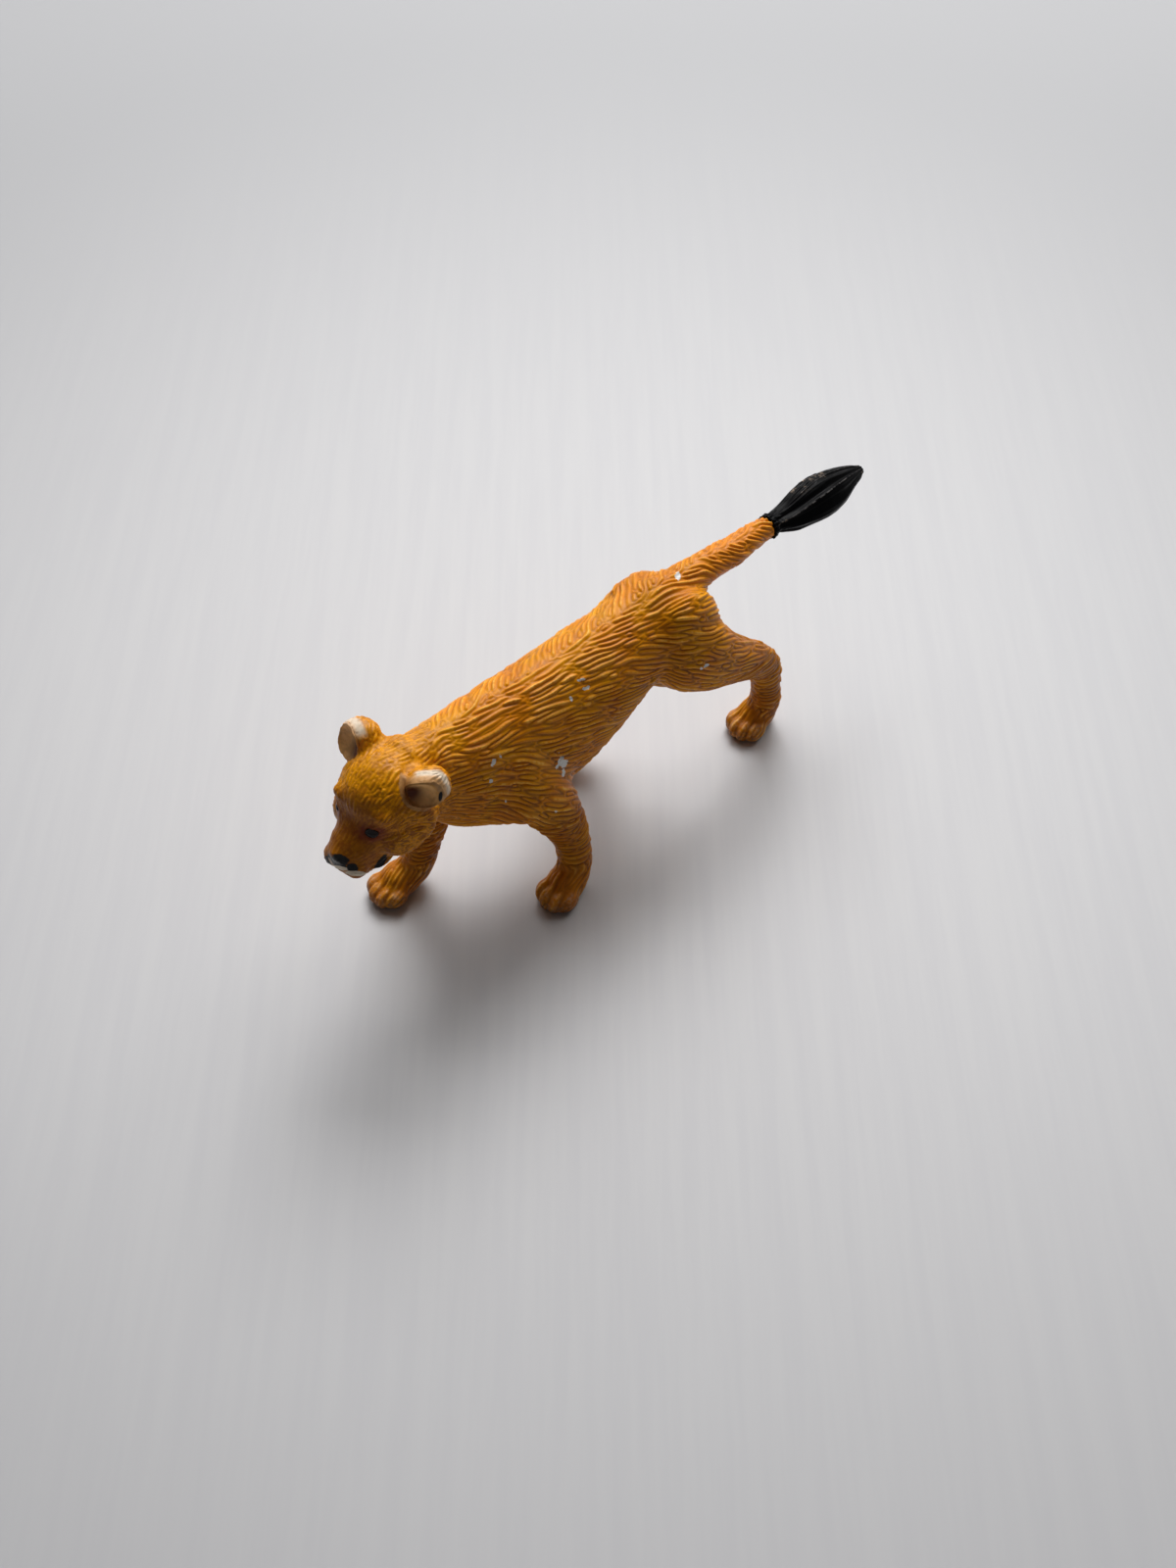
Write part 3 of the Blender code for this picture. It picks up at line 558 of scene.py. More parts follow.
muzzle = ramp(-3.6 * MM, -6.5 * MM, head_places[:, 1]) * is_head
calm = 1 - 0.55 * muzzle
calm *= 1 - 0.65 * ear_inside
calm *= 1 - 0.5 * ramp(4.8 * MM, 3.4 * MM, height)
tail_soft = softly(on["tail"], 2.5 * MM)
leg_soft = softly(np.any([on[node] for node in FORELEGS + HIND_LEGS], axis=0), 3 * MM)
low_leg = leg_soft * ramp(18 * MM, 13 * MM, height)
belly_soft = ramp(-0.3, -0.8, normals[:, 2])

# Small corrections of the form, read off the photograph: the pixel, then in mm how far to the right and up as
# the camera sees it, and how wide about.
NUDGES = (
    (441, 797, -0.95, -0.75, 4.0),
    (366, 752, -0.75, -0.40, 3.6),
    (436, 838, 0.9, 0.0, 3.4),
    (422, 858, 0.0, 0.8, 3.0),
    (520, 827, 0.25, -0.7, 4.5),
    (524, 830, 0.0, -0.45, 3.0),
    (434, 779, -0.1, -0.85, 3.4),
    (458, 796, -0.55, -0.1, 2.6),
    (757, 556, 0.15, -0.35, 4.5),
)
shift = net.relax(filled, rounds_for(0.4 * MM))
for px, py, right, up, about in NUDGES:
    centre, _normal = seen_at(px, py)
    far = lengths(skin - np.array(centre)) / (about * MM)
    shift += np.outer(np.clip(1 - far * far, 0, 1) ** 2, (CAMERA_RIGHT * right + CAMERA_UP * up) * MM)
skin = skin + shift
normals = unit(net.relax(vertex_normals(skin, quads), 3))

steep = ramp(0.6, 0.1, normals[:, 2])
pitch = CORD_PITCH * (1.08 - 0.22 * head_soft - 0.13 * steep * (1 - leg_soft))
reach = CORD_LENGTH * (1 - 0.74 * head_soft - 0.35 * low_leg - 0.25 * tail_soft)
relief = CORD_RELIEF * (1.05 - 0.34 * head_soft - 0.3 * belly_soft) * calm


class Trodden:
    """Places already taken by cords, kept in small cubes so that a near one is found quickly."""

    def __init__(self, cube):
        self.cube = cube
        self.held = {}

    def key(self, p):
        return int(p[0] // self.cube), int(p[1] // self.cube), int(p[2] // self.cube)

    def add(self, p):
        self.held.setdefault(self.key(p), []).append(p)

    def crowded(self, p, distance):
        i, j, k = self.key(p)
        limit = distance * distance
        for a in (i - 1, i, i + 1):
            for b in (j - 1, j, j + 1):
                for c in (k - 1, k, k + 1):
                    for q in self.held.get((a, b, c), ()):
                        if (p[0] - q[0]) ** 2 + (p[1] - q[1]) ** 2 + (p[2] - q[2]) ** 2 < limit:
                            return True
        return False


def comb(skin, flow, normals, pitch, reach):
    """Lays cords evenly over the skin along the flow. Each sample: place, cord, strength, taper."""
    tree = kd_of(skin)
    places, ways, outs = skin.tolist(), flow.tolist(), normals.tolist()
    taken = Trodden(CORD_PITCH)
    samples = []
    cords = 0
    order = rng.permutation(len(skin))
    for seed, (clear, apart, shortest) in [(seed, row) for row in COMBING for seed in order]:
        spacing = pitch[seed]
        start = places[seed]
        if taken.crowded(start, clear * spacing):
            continue
        length = reach[seed] * rng.uniform(0.55, 1.3)
        strength = rng.uniform(0.5, 1.0)
        runs = []
        for sign, share in ((-1, 0.45), (1, 0.55)):
            run, i, here = [], seed, start
            way = ways[seed]
            for _ in range(int(length * share / CORD_STEP)):
                new_way = ways[i]
                if new_way[0] * way[0] + new_way[1] * way[1] + new_way[2] * way[2] < 0.2:
                    break
                way = new_way
                here = [here[k] + sign * way[k] * CORD_STEP for k in range(3)]
                foot, i, _far = tree.find(here)
                out = outs[i]
                rise = sum((here[k] - foot[k]) * out[k] for k in range(3))
                here = [here[k] - out[k] * rise for k in range(3)]
                if taken.crowded(here, apart * spacing):
                    break
                run.append(here)
            runs.append(run)
        cord = runs[0][::-1] + [start] + runs[1]
        if len(cord) * CORD_STEP < shortest * length:
            continue
        cords += 1
        for number, place in enumerate(cord):
            t = number / max(len(cord) - 1, 1)
            taken.add(place)
            full = strength * min(1, t / 0.12 + 0.45) * min(1, (1 - t) / 0.2 + 0.35)
            end = END_TAPER * spacing * (1 - min(1, t / 0.16) * min(1, (1 - t) / 0.32) ** 0.8)
            samples.append((place, cords, full, end))
    return samples


samples = comb(skin, flow, normals, pitch, reach)
cord_tree = kd_of([sample[0] for sample in samples])
cord = np.zeros(len(skin))
strand_tone = np.zeros(len(skin))
for i, place in enumerate(skin.tolist()):
    nearest = {}
    for _foot, k, far in cord_tree.find_n(place, NEAR_SAMPLES):
        _place, number, _full, end = samples[k]
        far += end
        if number not in nearest or far < nearest[number][0]:
            nearest[number] = (far, k)
    found = sorted(nearest.values())
    near_far, first = found[0]
    other_far = found[1][0] if len(found) > 1 else 1.5 * pitch[i]
    half = min(0.5 * (near_far + other_far), 0.8 * pitch[i])
    share = min(near_far / half, 1)
    crest = samples[first][2] * (1 - share ** 1.5) ** 1.4 * min(1, half / (0.5 * pitch[i]))
    gap = min(max(near_far / pitch[i] - 0.55, 0) / 0.35, 1)
    cord[i] = crest + (GAP_LEVEL - crest) * gap
    strand_tone[i] = samples[first][1] * 0.618 % 1
cord = net.relax(cord, 1, 0.2)

base = skin.copy()
skin = skin + normals * (relief * (cord - LEVEL))[:, None]
soles = base[:, 2] < 0.12 * MM
skin[soles] = base[soles]
skin[:, 2] = np.maximum(skin[:, 2], 0)
shown_normals = vertex_normals(skin, quads)


# ------------ materials
def rgb(red, green, blue):
    """A colour as linear values, from the 0 to 255 values it is seen at."""
    def linear(value):
        value /= 255
        return value / 12.92 if value <= 0.04045 else ((value + 0.055) / 1.055) ** 2.4
    return linear(red), linear(green), linear(blue), 1


ORANGE = rgb(222, 132, 0)
YELLOW = rgb(236, 156, 0)
TAIL_ORANGE = rgb(240, 144, 20)
BROWN = rgb(142, 74, 6)
# Painted shade for the fur's grooves and the toe gaps, partly a brown wash.
VALLEY_WASH_AND_SHADE = rgb(84, 40, 0)
# Painted highlight for the fur's crests, partly a paler dry-brushed paint, in two tones.
RIDGE_PAINT_AND_HIGHLIGHT = rgb(255, 196, 84)
RIDGE_YELLOW_AND_HIGHLIGHT = rgb(250, 184, 16)
CREAM = rgb(232, 214, 190)
# Painted highlight for the tuft's crests.
CREST_HIGHLIGHT_GREY = rgb(104, 100, 98)
TUFT_BLACKS = (rgb(2, 2, 3), rgb(6, 6, 7))
EYE_BLACKS = (rgb(9, 6, 6), rgb(34, 14, 10))
FLOOR_PALES = (rgb(203, 202, 204), rgb(207, 206, 207))
# Painted shade for the floor farther from its middle.
FLOOR_FALLOFF_SHADE = rgb(164, 164, 166)
CHIP = rgb(232, 230, 226)
BLACK = rgb(16, 15, 15)
EAR_DARK = rgb(96, 46, 22)
EAR_PINK = rgb(255, 200, 132)
EYE_RED = rgb(116, 34, 16)
SCUFF = rgb(196, 172, 150)
FLECK = rgb(236, 180, 104)


class Paint:
    """Builds one node material, layer on layer."""

    def __init__(self, name):
        self.material = bpy.data.materials.new(name)
        self.material.use_nodes = True
        self.tree = self.material.node_tree
        self.nodes = self.tree.nodes
        self.shader = self.nodes["Principled BSDF"]
        self.coordinates = self.nodes.new("ShaderNodeTexCoord").outputs["Object"]
        self.colour = None

    def link(self, source, socket):
        self.tree.links.new(source, socket)

    def put(self, value, socket):
        if isinstance(value, bpy.types.NodeSocket):
            self.link(value, socket)
        else:
            socket.default_value = value

    def attribute(self, name):
        node = self.nodes.new("ShaderNodeAttribute")
        node.attribute_name = name
        return node.outputs["Fac"]

    def maths(self, operation, a, b=0.0):
        node = self.nodes.new("ShaderNodeMath")
        node.operation = operation
        self.put(a, node.inputs[0])
        self.put(b, node.inputs[1])
        return node.outputs[0]

    def product(self, *shares):
        """The shares multiplied together. A name stands for the share that the mesh holds under it."""
        shares = [self.attribute(share) if isinstance(share, str) else share for share in shares]
        total = shares[0]
        for share in shares[1:]:
            total = self.maths("MULTIPLY", total, share)
        return total

    def between(self, value, low, high, to_low=0.0, to_high=1.0):
        node = self.nodes.new("ShaderNodeMapRange")
        node.interpolation_type = "SMOOTHSTEP"
        self.put(value, node.inputs["Value"])
        for name, number in (("From Min", low), ("From Max", high), ("To Min", to_low), ("To Max", to_high)):
            node.inputs[name].default_value = number
        return node.outputs["Result"]

    def noise(self, size, detail=3, rough=0.6, where=None):
        node = self.nodes.new("ShaderNodeTexNoise")
        self.link(where or self.coordinates, node.inputs["Vector"])
        node.inputs["Scale"].default_value = 1 / size
        node.inputs["Detail"].default_value = detail
        node.inputs["Roughness"].default_value = rough
        return node.outputs["Fac"]

    def mix(self, share, first, second):
        node = self.nodes.new("ShaderNodeMix")
        node.data_type = "RGBA"
        self.put(share, node.inputs["Factor"])
        self.put(first, node.inputs[6])
        self.put(second, node.inputs[7])
        return node.outputs[2]

    def lay(self, shade, *shares):
        """Lays a shade over the colour so far, by the product of the shares."""
        self.colour = self.mix(self.product(*shares), self.colour, shade)

    def bump(self, height, distance, strength=1.0, after=None):
        node = self.nodes.new("ShaderNodeBump")
        node.inputs["Strength"].default_value = strength
        node.inputs["Distance"].default_value = distance
        self.link(height, node.inputs["Height"])
        if after is not None:
            self.link(after, node.inputs["Normal"])
        return node.outputs["Normal"]

    def framed(self, scale, turn, place=(0, 0, 0)):
        """The coordinates in a frame of this scale, turn and place."""
        node = self.nodes.new("ShaderNodeMapping")
        node.vector_type = "TEXTURE"
        self.link(self.coordinates, node.inputs["Vector"])
        for name, value in (("Location", place), ("Rotation", turn), ("Scale", scale)):
            node.inputs[name].default_value = value
        return node.outputs["Vector"]

    def length(self, vector):
        node = self.nodes.new("ShaderNodeVectorMath")
        node.operation = "LENGTH"
        self.link(vector, node.inputs[0])
        return node.outputs["Value"]

    def spot(self, place, turn, radii, edge=0.12, ragged=0.25, grain=0.35 * MM):
        """1 inside an oval spot at a place, 0 outside, with a ragged edge."""
        wobble = self.product(self.maths("SUBTRACT", self.noise(grain), 0.5), 2 * ragged)
        far = self.maths("ADD", self.length(self.framed(radii, turn.to_euler(), place)), wobble)
        return self.between(far, 1 + edge, 1 - edge)

    def finish(self, rough, specular=0.5, normal=None):
        self.link(self.colour, self.shader.inputs["Base Color"])
        self.put(rough, self.shader.inputs["Roughness"])
        self.shader.inputs["Specular IOR Level"].default_value = specular
        if normal is not None:
            self.link(normal, self.shader.inputs["Normal"])


def spot_at(px, py, wide, tall, slant=0.0, deep=1.2 * MM):
    """Where a painted spot of the photograph lies: its place, its axes as the camera sees it, its radii."""
    place, _normal = seen_at(px, py)
    across = CAMERA_RIGHT * math.cos(slant) + CAMERA_UP * math.sin(slant)
    turn = Matrix((across, (-CAMERA_AIM).cross(across), -CAMERA_AIM)).transposed()
    return place, turn, (wide * MM / 2, tall * MM / 2, deep)


coat = Paint("coat_paint")
fur = coat.attribute("cord")
fine = coat.noise(0.5 * MM, 5, 0.7)
grain = coat.noise(0.12 * MM, 3, 0.7)

# The ground colour, with painted shade between the cords and a painted highlight along their crests.
coat.colour = coat.mix(coat.between(coat.noise(4.0 * MM, 4), 0.35, 0.68), ORANGE, YELLOW)
coat.lay(YELLOW, "yellow")
coat.lay(TAIL_ORANGE, "orange")
# Brown paint on the lower legs and muzzle, and painted shade on the belly where it faces down.
coat.lay(BROWN, "brown", coat.between(fine, 0.2, 0.75, 0.7, 1.0))
# Painted shade between the cords, partly a brown wash, deeper on steep sides.
coat.lay(VALLEY_WASH_AND_SHADE, coat.between(fur, 0.40, 0.08), "groove_wash_and_shade", coat.between(fine, 0.25, 0.7, 0.6, 0.95))
# Painted highlight along the crests, partly a paler dry-brushed paint.
ridge_paint_and_highlight = coat.product(coat.between(fur, 0.46, 0.84), "furred", coat.between(fine, 0.38, 0.62, 0.1, 0.85))
coat.lay(coat.mix(coat.attribute("yellow"), RIDGE_PAINT_AND_HIGHLIGHT, RIDGE_YELLOW_AND_HIGHLIGHT), ridge_paint_and_highlight)
coat.lay(BROWN, coat.between(coat.attribute("strand"), 0.55, 1.0, 0.0, 0.22))
# Pale flecks on some crests, laid within the painted highlight.
coat.lay(SCUFF, coat.between(coat.noise(0.35 * MM, 3, 0.6), 0.68, 0.73, 0.0, 0.8), ridge_paint_and_highlight)

# The face is mottled brown, with a few pale flecks over the eyes.
coat.lay(BROWN, "face", coat.between(coat.noise(1.0 * MM, 4, 0.65), 0.46, 0.58, 0.0, 0.7))
coat.lay(FLECK, "brow", coat.between(coat.noise(0.45 * MM, 4, 0.7), 0.62, 0.70, 0.0, 0.6))

# Worn toes and ear rims show the pale plastic under the paint.
coat.lay(CREAM, "worn", coat.between(fine, 0.42, 0.62))
# Painted shade in the gaps between the toes.
coat.lay(VALLEY_WASH_AND_SHADE, "toe_gap_shade", 0.4)
coat.lay(BLACK, "claw")
ear_light = coat.product("ear_outer", coat.between(coat.noise(0.9 * MM, 4), 0.3, 0.6, 0.7, 1.0))
coat.lay(coat.mix(ear_light, EAR_DARK, EAR_PINK), "ear_inside")
coat.lay(CREAM, "ear_rim", coat.between(coat.noise(0.7 * MM, 4), 0.3, 0.5, 0.6, 0.95))

# Red-brown about the eyes, and a black nose.
for name, (place, turn) in eyes.items():
    share = FAR_EYE_SHARE if name == "right" else 1
    radii = (1.9 * MM * share, 1.25 * MM * share, 2.0 * MM)
    coat.lay(EYE_RED, coat.spot(place, turn, radii, edge=0.45, ragged=0.3), 0.8)
nose_spot = coat.spot(nose_place, HEAD_FRAME.to_3x3(), NOSE_RADII, edge=0.08, ragged=0.16)
coat.lay(BLACK, nose_spot)

# Painted on the face: centre in the photograph, width and height in mm, slant, colour.
MARK_DEPTH = 2.4 * MM
FACE_MARKS = (
    (335.0, 879.6, 0.85, 1.45, 0.25, BLACK),
    (346.3, 877.5, 2.15, 1.30, -0.2, BLACK),
    (338.5, 881.0, 0.28, 1.50, 0.45, SCUFF),
    (347.0, 885.6, 2.30, 0.45, -0.15, CREAM),
    (359.9, 885.8, 1.25, 1.15, -0.3, BLACK),
    (387.4, 882.2, 0.70, 2.90, -0.60, BLACK),
    (363.5, 891.4, 2.40, 0.60, -0.1, CREAM),
    (450.5, 812.0, 0.45, 1.30, -0.2, BLACK),
)
for px, py, wide, tall, slant, shade in FACE_MARKS:
    place, turn, radii = spot_at(px, py, wide, tall, slant, MARK_DEPTH)
    coat.lay(shade, coat.spot(place, turn, radii, ragged=0.3, grain=0.5 * MM))
coat.lay(BLACK, "lip")

# Chips in the paint: centre in the photograph, width and height in mm, slant.
CHIPS = (
    (573.5, 779.5, 1.1, 1.8, 0.3),
    (574.5, 787.5, 0.4, 1.1, 0.1),
    (503, 779, 0.35, 1.0, -0.3),
    (511, 772, 0.25, 0.4, 0.2),
    (501, 797, 0.5, 0.6, -0.4),
    (516, 818, 0.35, 0.4, 0.2),
    (583, 713, 0.3, 0.6, 0.4),
    (568, 828, 0.7, 0.25, 0.2),
    (691, 588, 0.7, 0.9, 0.0),
    (598, 702, 1.1, 0.4, 0.3),
    (594, 693, 0.9, 0.35, 0.3),
    (720, 680, 0.9, 0.35, 0.5),
    (716, 682, 0.4, 0.3, 0.0),
)
for px, py, wide, tall, slant in CHIPS:
    place, turn, radii = spot_at(px, py, wide, tall, slant)
    coat.lay(CHIP, coat.spot(place, turn, radii, ragged=1.9, grain=0.7 * MM))

rough = coat.between(fine, 0.3, 0.7, 0.27, 0.40)
rough = coat.maths("SUBTRACT", rough, coat.product(nose_spot, 0.1))
uneven = coat.bump(grain, 0.012 * MM, 0.6, coat.bump(fine, 0.05 * MM, 0.6))
coat.finish(rough, 0.13, uneven)

# What the coat's paint reads off the skin.
fur_share = np.clip(relief / (CORD_RELIEF * 0.55), 0, 1)
nape = lengths((skin - np.array(HEAD_PLACE)) / (6 * MM, 8 * MM, 6 * MM))
toes = ramp(2.6 * MM, 1.2 * MM, height) * ramp(0.1 * MM, 0.5 * MM, height)
brow = np.zeros(len(skin))
for hand in (-1, 1):
    middle = np.array(EYE_PLACE) * (hand, 1, 1) + np.array((0.8 * hand, 0.8, 1.2)) * MM
    brow = np.maximum(brow, ramp(3.2 * MM, 1.2 * MM, lengths(head_places - middle)))
lip_paint = np.clip(1.2 - lip / (0.35 * MM), 0, 1) * ramp(0.5, 0.2, lip_along)
skin_shares = {
    "cord": cord,
    "strand": strand_tone,
    # Painted shade between the cords, partly a brown wash, deeper on steep sides.
    "groove_wash_and_shade": fur_share * (0.45 + 0.5 * steep * (1 - 0.5 * tail_soft)),
    "furred": fur_share,
    "yellow": 0.8 * np.maximum(ramp(1.5, 0.7, nape), 0.7 * head_soft),
    "orange": tail_soft,
    # Brown paint on the lower legs and muzzle, and painted shade on the belly where it faces down.
    "brown": 0.5 * low_leg + 0.8 * muzzle + 0.5 * belly_soft,
    "worn": 0.22 * np.maximum(toes * 0.8, knuckle),
    "claw": 0.35 * claw,
    "toe_gap_shade": toe_gap,
    "ear_inside": ear_inside,
    "ear_rim": ear_rim,
    "ear_outer": ear_outer,
    "face": head_soft * (1 - 0.45 * ramp(1.3, 0.5, nape)),
    "brow": brow * is_head,
    "lip": np.where(lip_here, lip_paint, 0),
}

gloss = Paint("tuft_paint")
scuffs = gloss.noise(0.9 * MM, 5, 0.7)
gloss.colour = gloss.mix(gloss.between(gloss.noise(2.0 * MM, 4), 0.35, 0.7), *TUFT_BLACKS)
# Painted highlight: thin pale lines along the crests, broken by scuff noise.
crest_highlight = gloss.between(gloss.attribute("crest"), 0.86, 0.98)
gloss.lay(CREST_HIGHLIGHT_GREY, crest_highlight, gloss.between(scuffs, 0.42, 0.62, 0.0, 0.8))
# Pale worn scuffs on the upper side and the tip, and a painted highlight on the collar's crests.
gloss.lay(SCUFF, "edge", gloss.between(scuffs, 0.56, 0.62))
uneven = gloss.bump(gloss.noise(0.5 * MM, 3), 0.006 * MM, 0.3)
gloss.finish(gloss.between(scuffs, 0.3, 0.7, 0.14, 0.26), 0.022, uneven)

eye_paint = Paint("eye_paint")
eye_paint.colour = eye_paint.mix(eye_paint.between(eye_paint.noise(0.5 * MM, 3), 0.4, 0.7), *EYE_BLACKS)
eye_paint.finish(eye_paint.between(eye_paint.noise(0.3 * MM, 3), 0.3, 0.7, 0.2, 0.3), 0.15)


# ------------ the skin parted into its castings
def face_owners():
    """One casting for each face, with stray islands given to their neighbours."""
    votes = owner[quads]
    best = np.array([np.bincount(v, minlength=len(COAT_NODES)).argmax() for v in votes])
    pairs = sides_of(quads)
    faces = np.tile(np.arange(len(quads)), 4)
    pairs.sort(axis=1)
    key = pairs[:, 0] * len(skin) + pairs[:, 1]
    order = np.argsort(key, kind="stable")
    key, faces = key[order], faces[order]
    same = key[1:] == key[:-1]
    links = np.stack((faces[:-1][same], faces[1:][same]), axis=1)
    for _ in range(4):
        alike = best[links[:, 0]] == best[links[:, 1]]
        group = groups_of(len(quads), links[alike])
        sizes = np.bincount(group, minlength=len(quads))
        keep = np.zeros(len(quads), dtype=bool)
        for number in range(len(COAT_NODES)):
            mine = np.nonzero(best == number)[0]
            keep |= group == group[mine[sizes[group[mine]].argmax()]]
        if keep.all():
            break
        for a, b in np.concatenate((links, links[:, ::-1])):
            if not keep[a] and keep[b]:
                best[a] = best[b]
    return best


def part_of_skin(node, number, face_owner):
    """A casting's own closed piece: its share of the skin, capped inside the figure."""
    mine = quads[face_owner == number]
    used = np.unique(mine)
    local = np.full(len(skin), -1)
    local[used] = np.arange(len(used))
    faces = local[mine]
    places = skin[used].tolist()
    directed = sides_of(faces)
    key = directed[:, 0] * len(used) + directed[:, 1]
    back = directed[:, 1] * len(used) + directed[:, 0]
    rim_edges = directed[~np.isin(key, back)]
    caps, cap_normals = [], []
    if len(rim_edges):
        group = groups_of(len(used), rim_edges)
        for loop in np.unique(group[rim_edges[:, 0]]):
            edges = rim_edges[group[rim_edges[:, 0]] == loop]
            places.append(skin[used[np.unique(edges)]].mean(axis=0).tolist())
            cap_normals.append((0.0, 0.0, 1.0))
            caps.extend((b, a, len(places) - 1) for a, b in edges.tolist())
    mesh = bpy.data.meshes.new(node + "_fur")
    mesh.from_pydata(places, [], faces.tolist() + caps)
    mesh.polygons.foreach_set("use_smooth", [True] * len(mesh.polygons))
    outs = np.concatenate((shown_normals[used], np.array(cap_normals).reshape(-1, 3)))
    mesh.normals_split_custom_set_from_vertices([tuple(v) for v in outs])
    for name, values in skin_shares.items():
        values = np.clip(values[used], 0, 1)
        write_shares(mesh, name, np.concatenate((values, np.zeros(len(cap_normals)))))
    mesh.materials.append(coat.material)
    obj = new_object(node + "_fur", mesh)
    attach(obj, "root")
    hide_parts(node)


face_owner = face_owners()
for number, node in enumerate(COAT_NODES):
    part_of_skin(node, number, face_owner)


# ------------ eyes
def eye_bead(name, place, turn, share):
    """A small glossy painted eye, oval and domed, set in its socket."""
    bm = bmesh.new()
    bmesh.ops.create_uvsphere(bm, u_segments=32, v_segments=20, radius=1)
    for vertex in bm.verts:
        x, y, z = vertex.co
        point = 1 - 0.30 * abs(x) ** 2.5
        vertex.co = Vector((x * EYE_LENGTH / 2, y * point * EYE_HEIGHT / 2, z * EYE_DEPTH / 2)) * share
    bm.transform(Matrix.Translation(place - turn.col[2] * EYE_SEAT) @ turn.to_4x4())
    mesh = mesh_from(bm, name, smooth=True)
    mesh.materials.append(eye_paint.material)
    obj = new_object(name, mesh)
    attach(obj, "root")


for name, (place, turn) in eyes.items():
    eye_bead(name + "_eye", place, turn, FAR_EYE_SHARE if name == "right" else 1)


# ------------ tail tuft
TUFT_STATIONS, TUFT_SPOKES = 140, 192
TUFT_SHARES = np.linspace(0, 1, TUFT_STATIONS) ** 0.9
TUFT_ANGLES = np.linspace(0, 2 * math.pi, TUFT_SPOKES, endpoint=False)
TUFT_PEG = 2.8 * MM
TUFT_CRESTS = 7
CREST_HEIGHT = 0.24 * MM
CREST_WIDTH = 0.10
CREST_SINK = 0.16 * MM
HAIRLINES, HAIRLINE_HEIGHT = 41, 0.008 * MM
LOCK_HEIGHT = 0.06 * MM
COLLAR_LUMPS = 0.22 * MM
WORN_LUMPS = 0.14 * MM
TUFT_WORN_SIDE = math.radians(150)
TAIL_END_RADIUS = 1.74 * MM
# The tuft bulges towards the lower right as the camera sees it.
TUFT_SAG = 0.6 * MM
SAG_WAY = np.array(CAMERA_RIGHT) * 0.57 - np.array(CAMERA_UP) * 0.82


def tuft_form():
    """The casting's own form: middles, radii about them, the ways these point in, and the tip."""
    bm = cad_copy("tail_tuft")
    points = np.array([v.co for v in bm.verts])
    tree = BVHTree.FromBMesh(bm)
    bm.free()
    low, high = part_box("tail_tuft")
    root = points[points[:, 1] < low.y + 4 * MM].mean(axis=0)
    tip = points[points[:, 1] > high.y - 3 * MM].mean(axis=0)
    axis = unit(tip - root)
    across = unit(np.cross(axis, (0, 0, 1.0)))
    rise = np.cross(across, axis)
    along = (points - root) @ axis
    first, last = along.min() + TUFT_PEG + 0.1 * MM, along.max()
    ways = [across * math.cos(angle) + rise * math.sin(angle) for angle in TUFT_ANGLES]

    centres, radii = [], []
    middle = root + axis * first
    for share in TUFT_SHARES:
        here = first + (last - first) * min(share, 0.985)
        aim = root + axis * here
        drift = ((middle - aim) @ across) * across + ((middle - aim) @ rise) * rise
        middle = aim + drift
        for _ in range(2):
            hits = [tree.ray_cast(Vector(middle), Vector(way))[0] for way in ways[:: TUFT_SPOKES // 24]]
            hits = [hit for hit in hits if hit is not None]
            middle = np.mean(hits, axis=0) if hits else middle
            middle = middle - ((middle - aim) @ axis) * axis
        hits = [tree.ray_cast(Vector(middle), Vector(way)) for way in ways]
        radii.append([hit[3] if hit[0] is not None else 0.1 * MM for hit in hits])
        centres.append(middle)
    centres, radii = np.array(centres), np.array(radii)
    for _ in range(14):
        radii = 0.5 * radii + 0.25 * (np.roll(radii, 1, axis=1) + np.roll(radii, -1, axis=1))
    for _ in range(8):
        for table in (centres, radii):
            table[1:-1] = 0.5 * table[1:-1] + 0.25 * (table[:-2] + table[2:])
    return centres, radii, ways, root + axis * last


def tube_faces(stations, spokes):
    """Faces of a closed tube: its rings in order, then one place at its start and one at its end."""
    faces = []
    for i in range(stations - 1):
        for j in range(spokes):
            k = (j + 1) % spokes
            faces.append((i * spokes + j, i * spokes + k, (i + 1) * spokes + k, (i + 1) * spokes + j))
    count = stations * spokes
    for j in range(spokes):
        k = (j + 1) % spokes
        faces.append((k, j, count))
        faces.append((count - spokes + j, count - spokes + k, count + 1))
    return faces


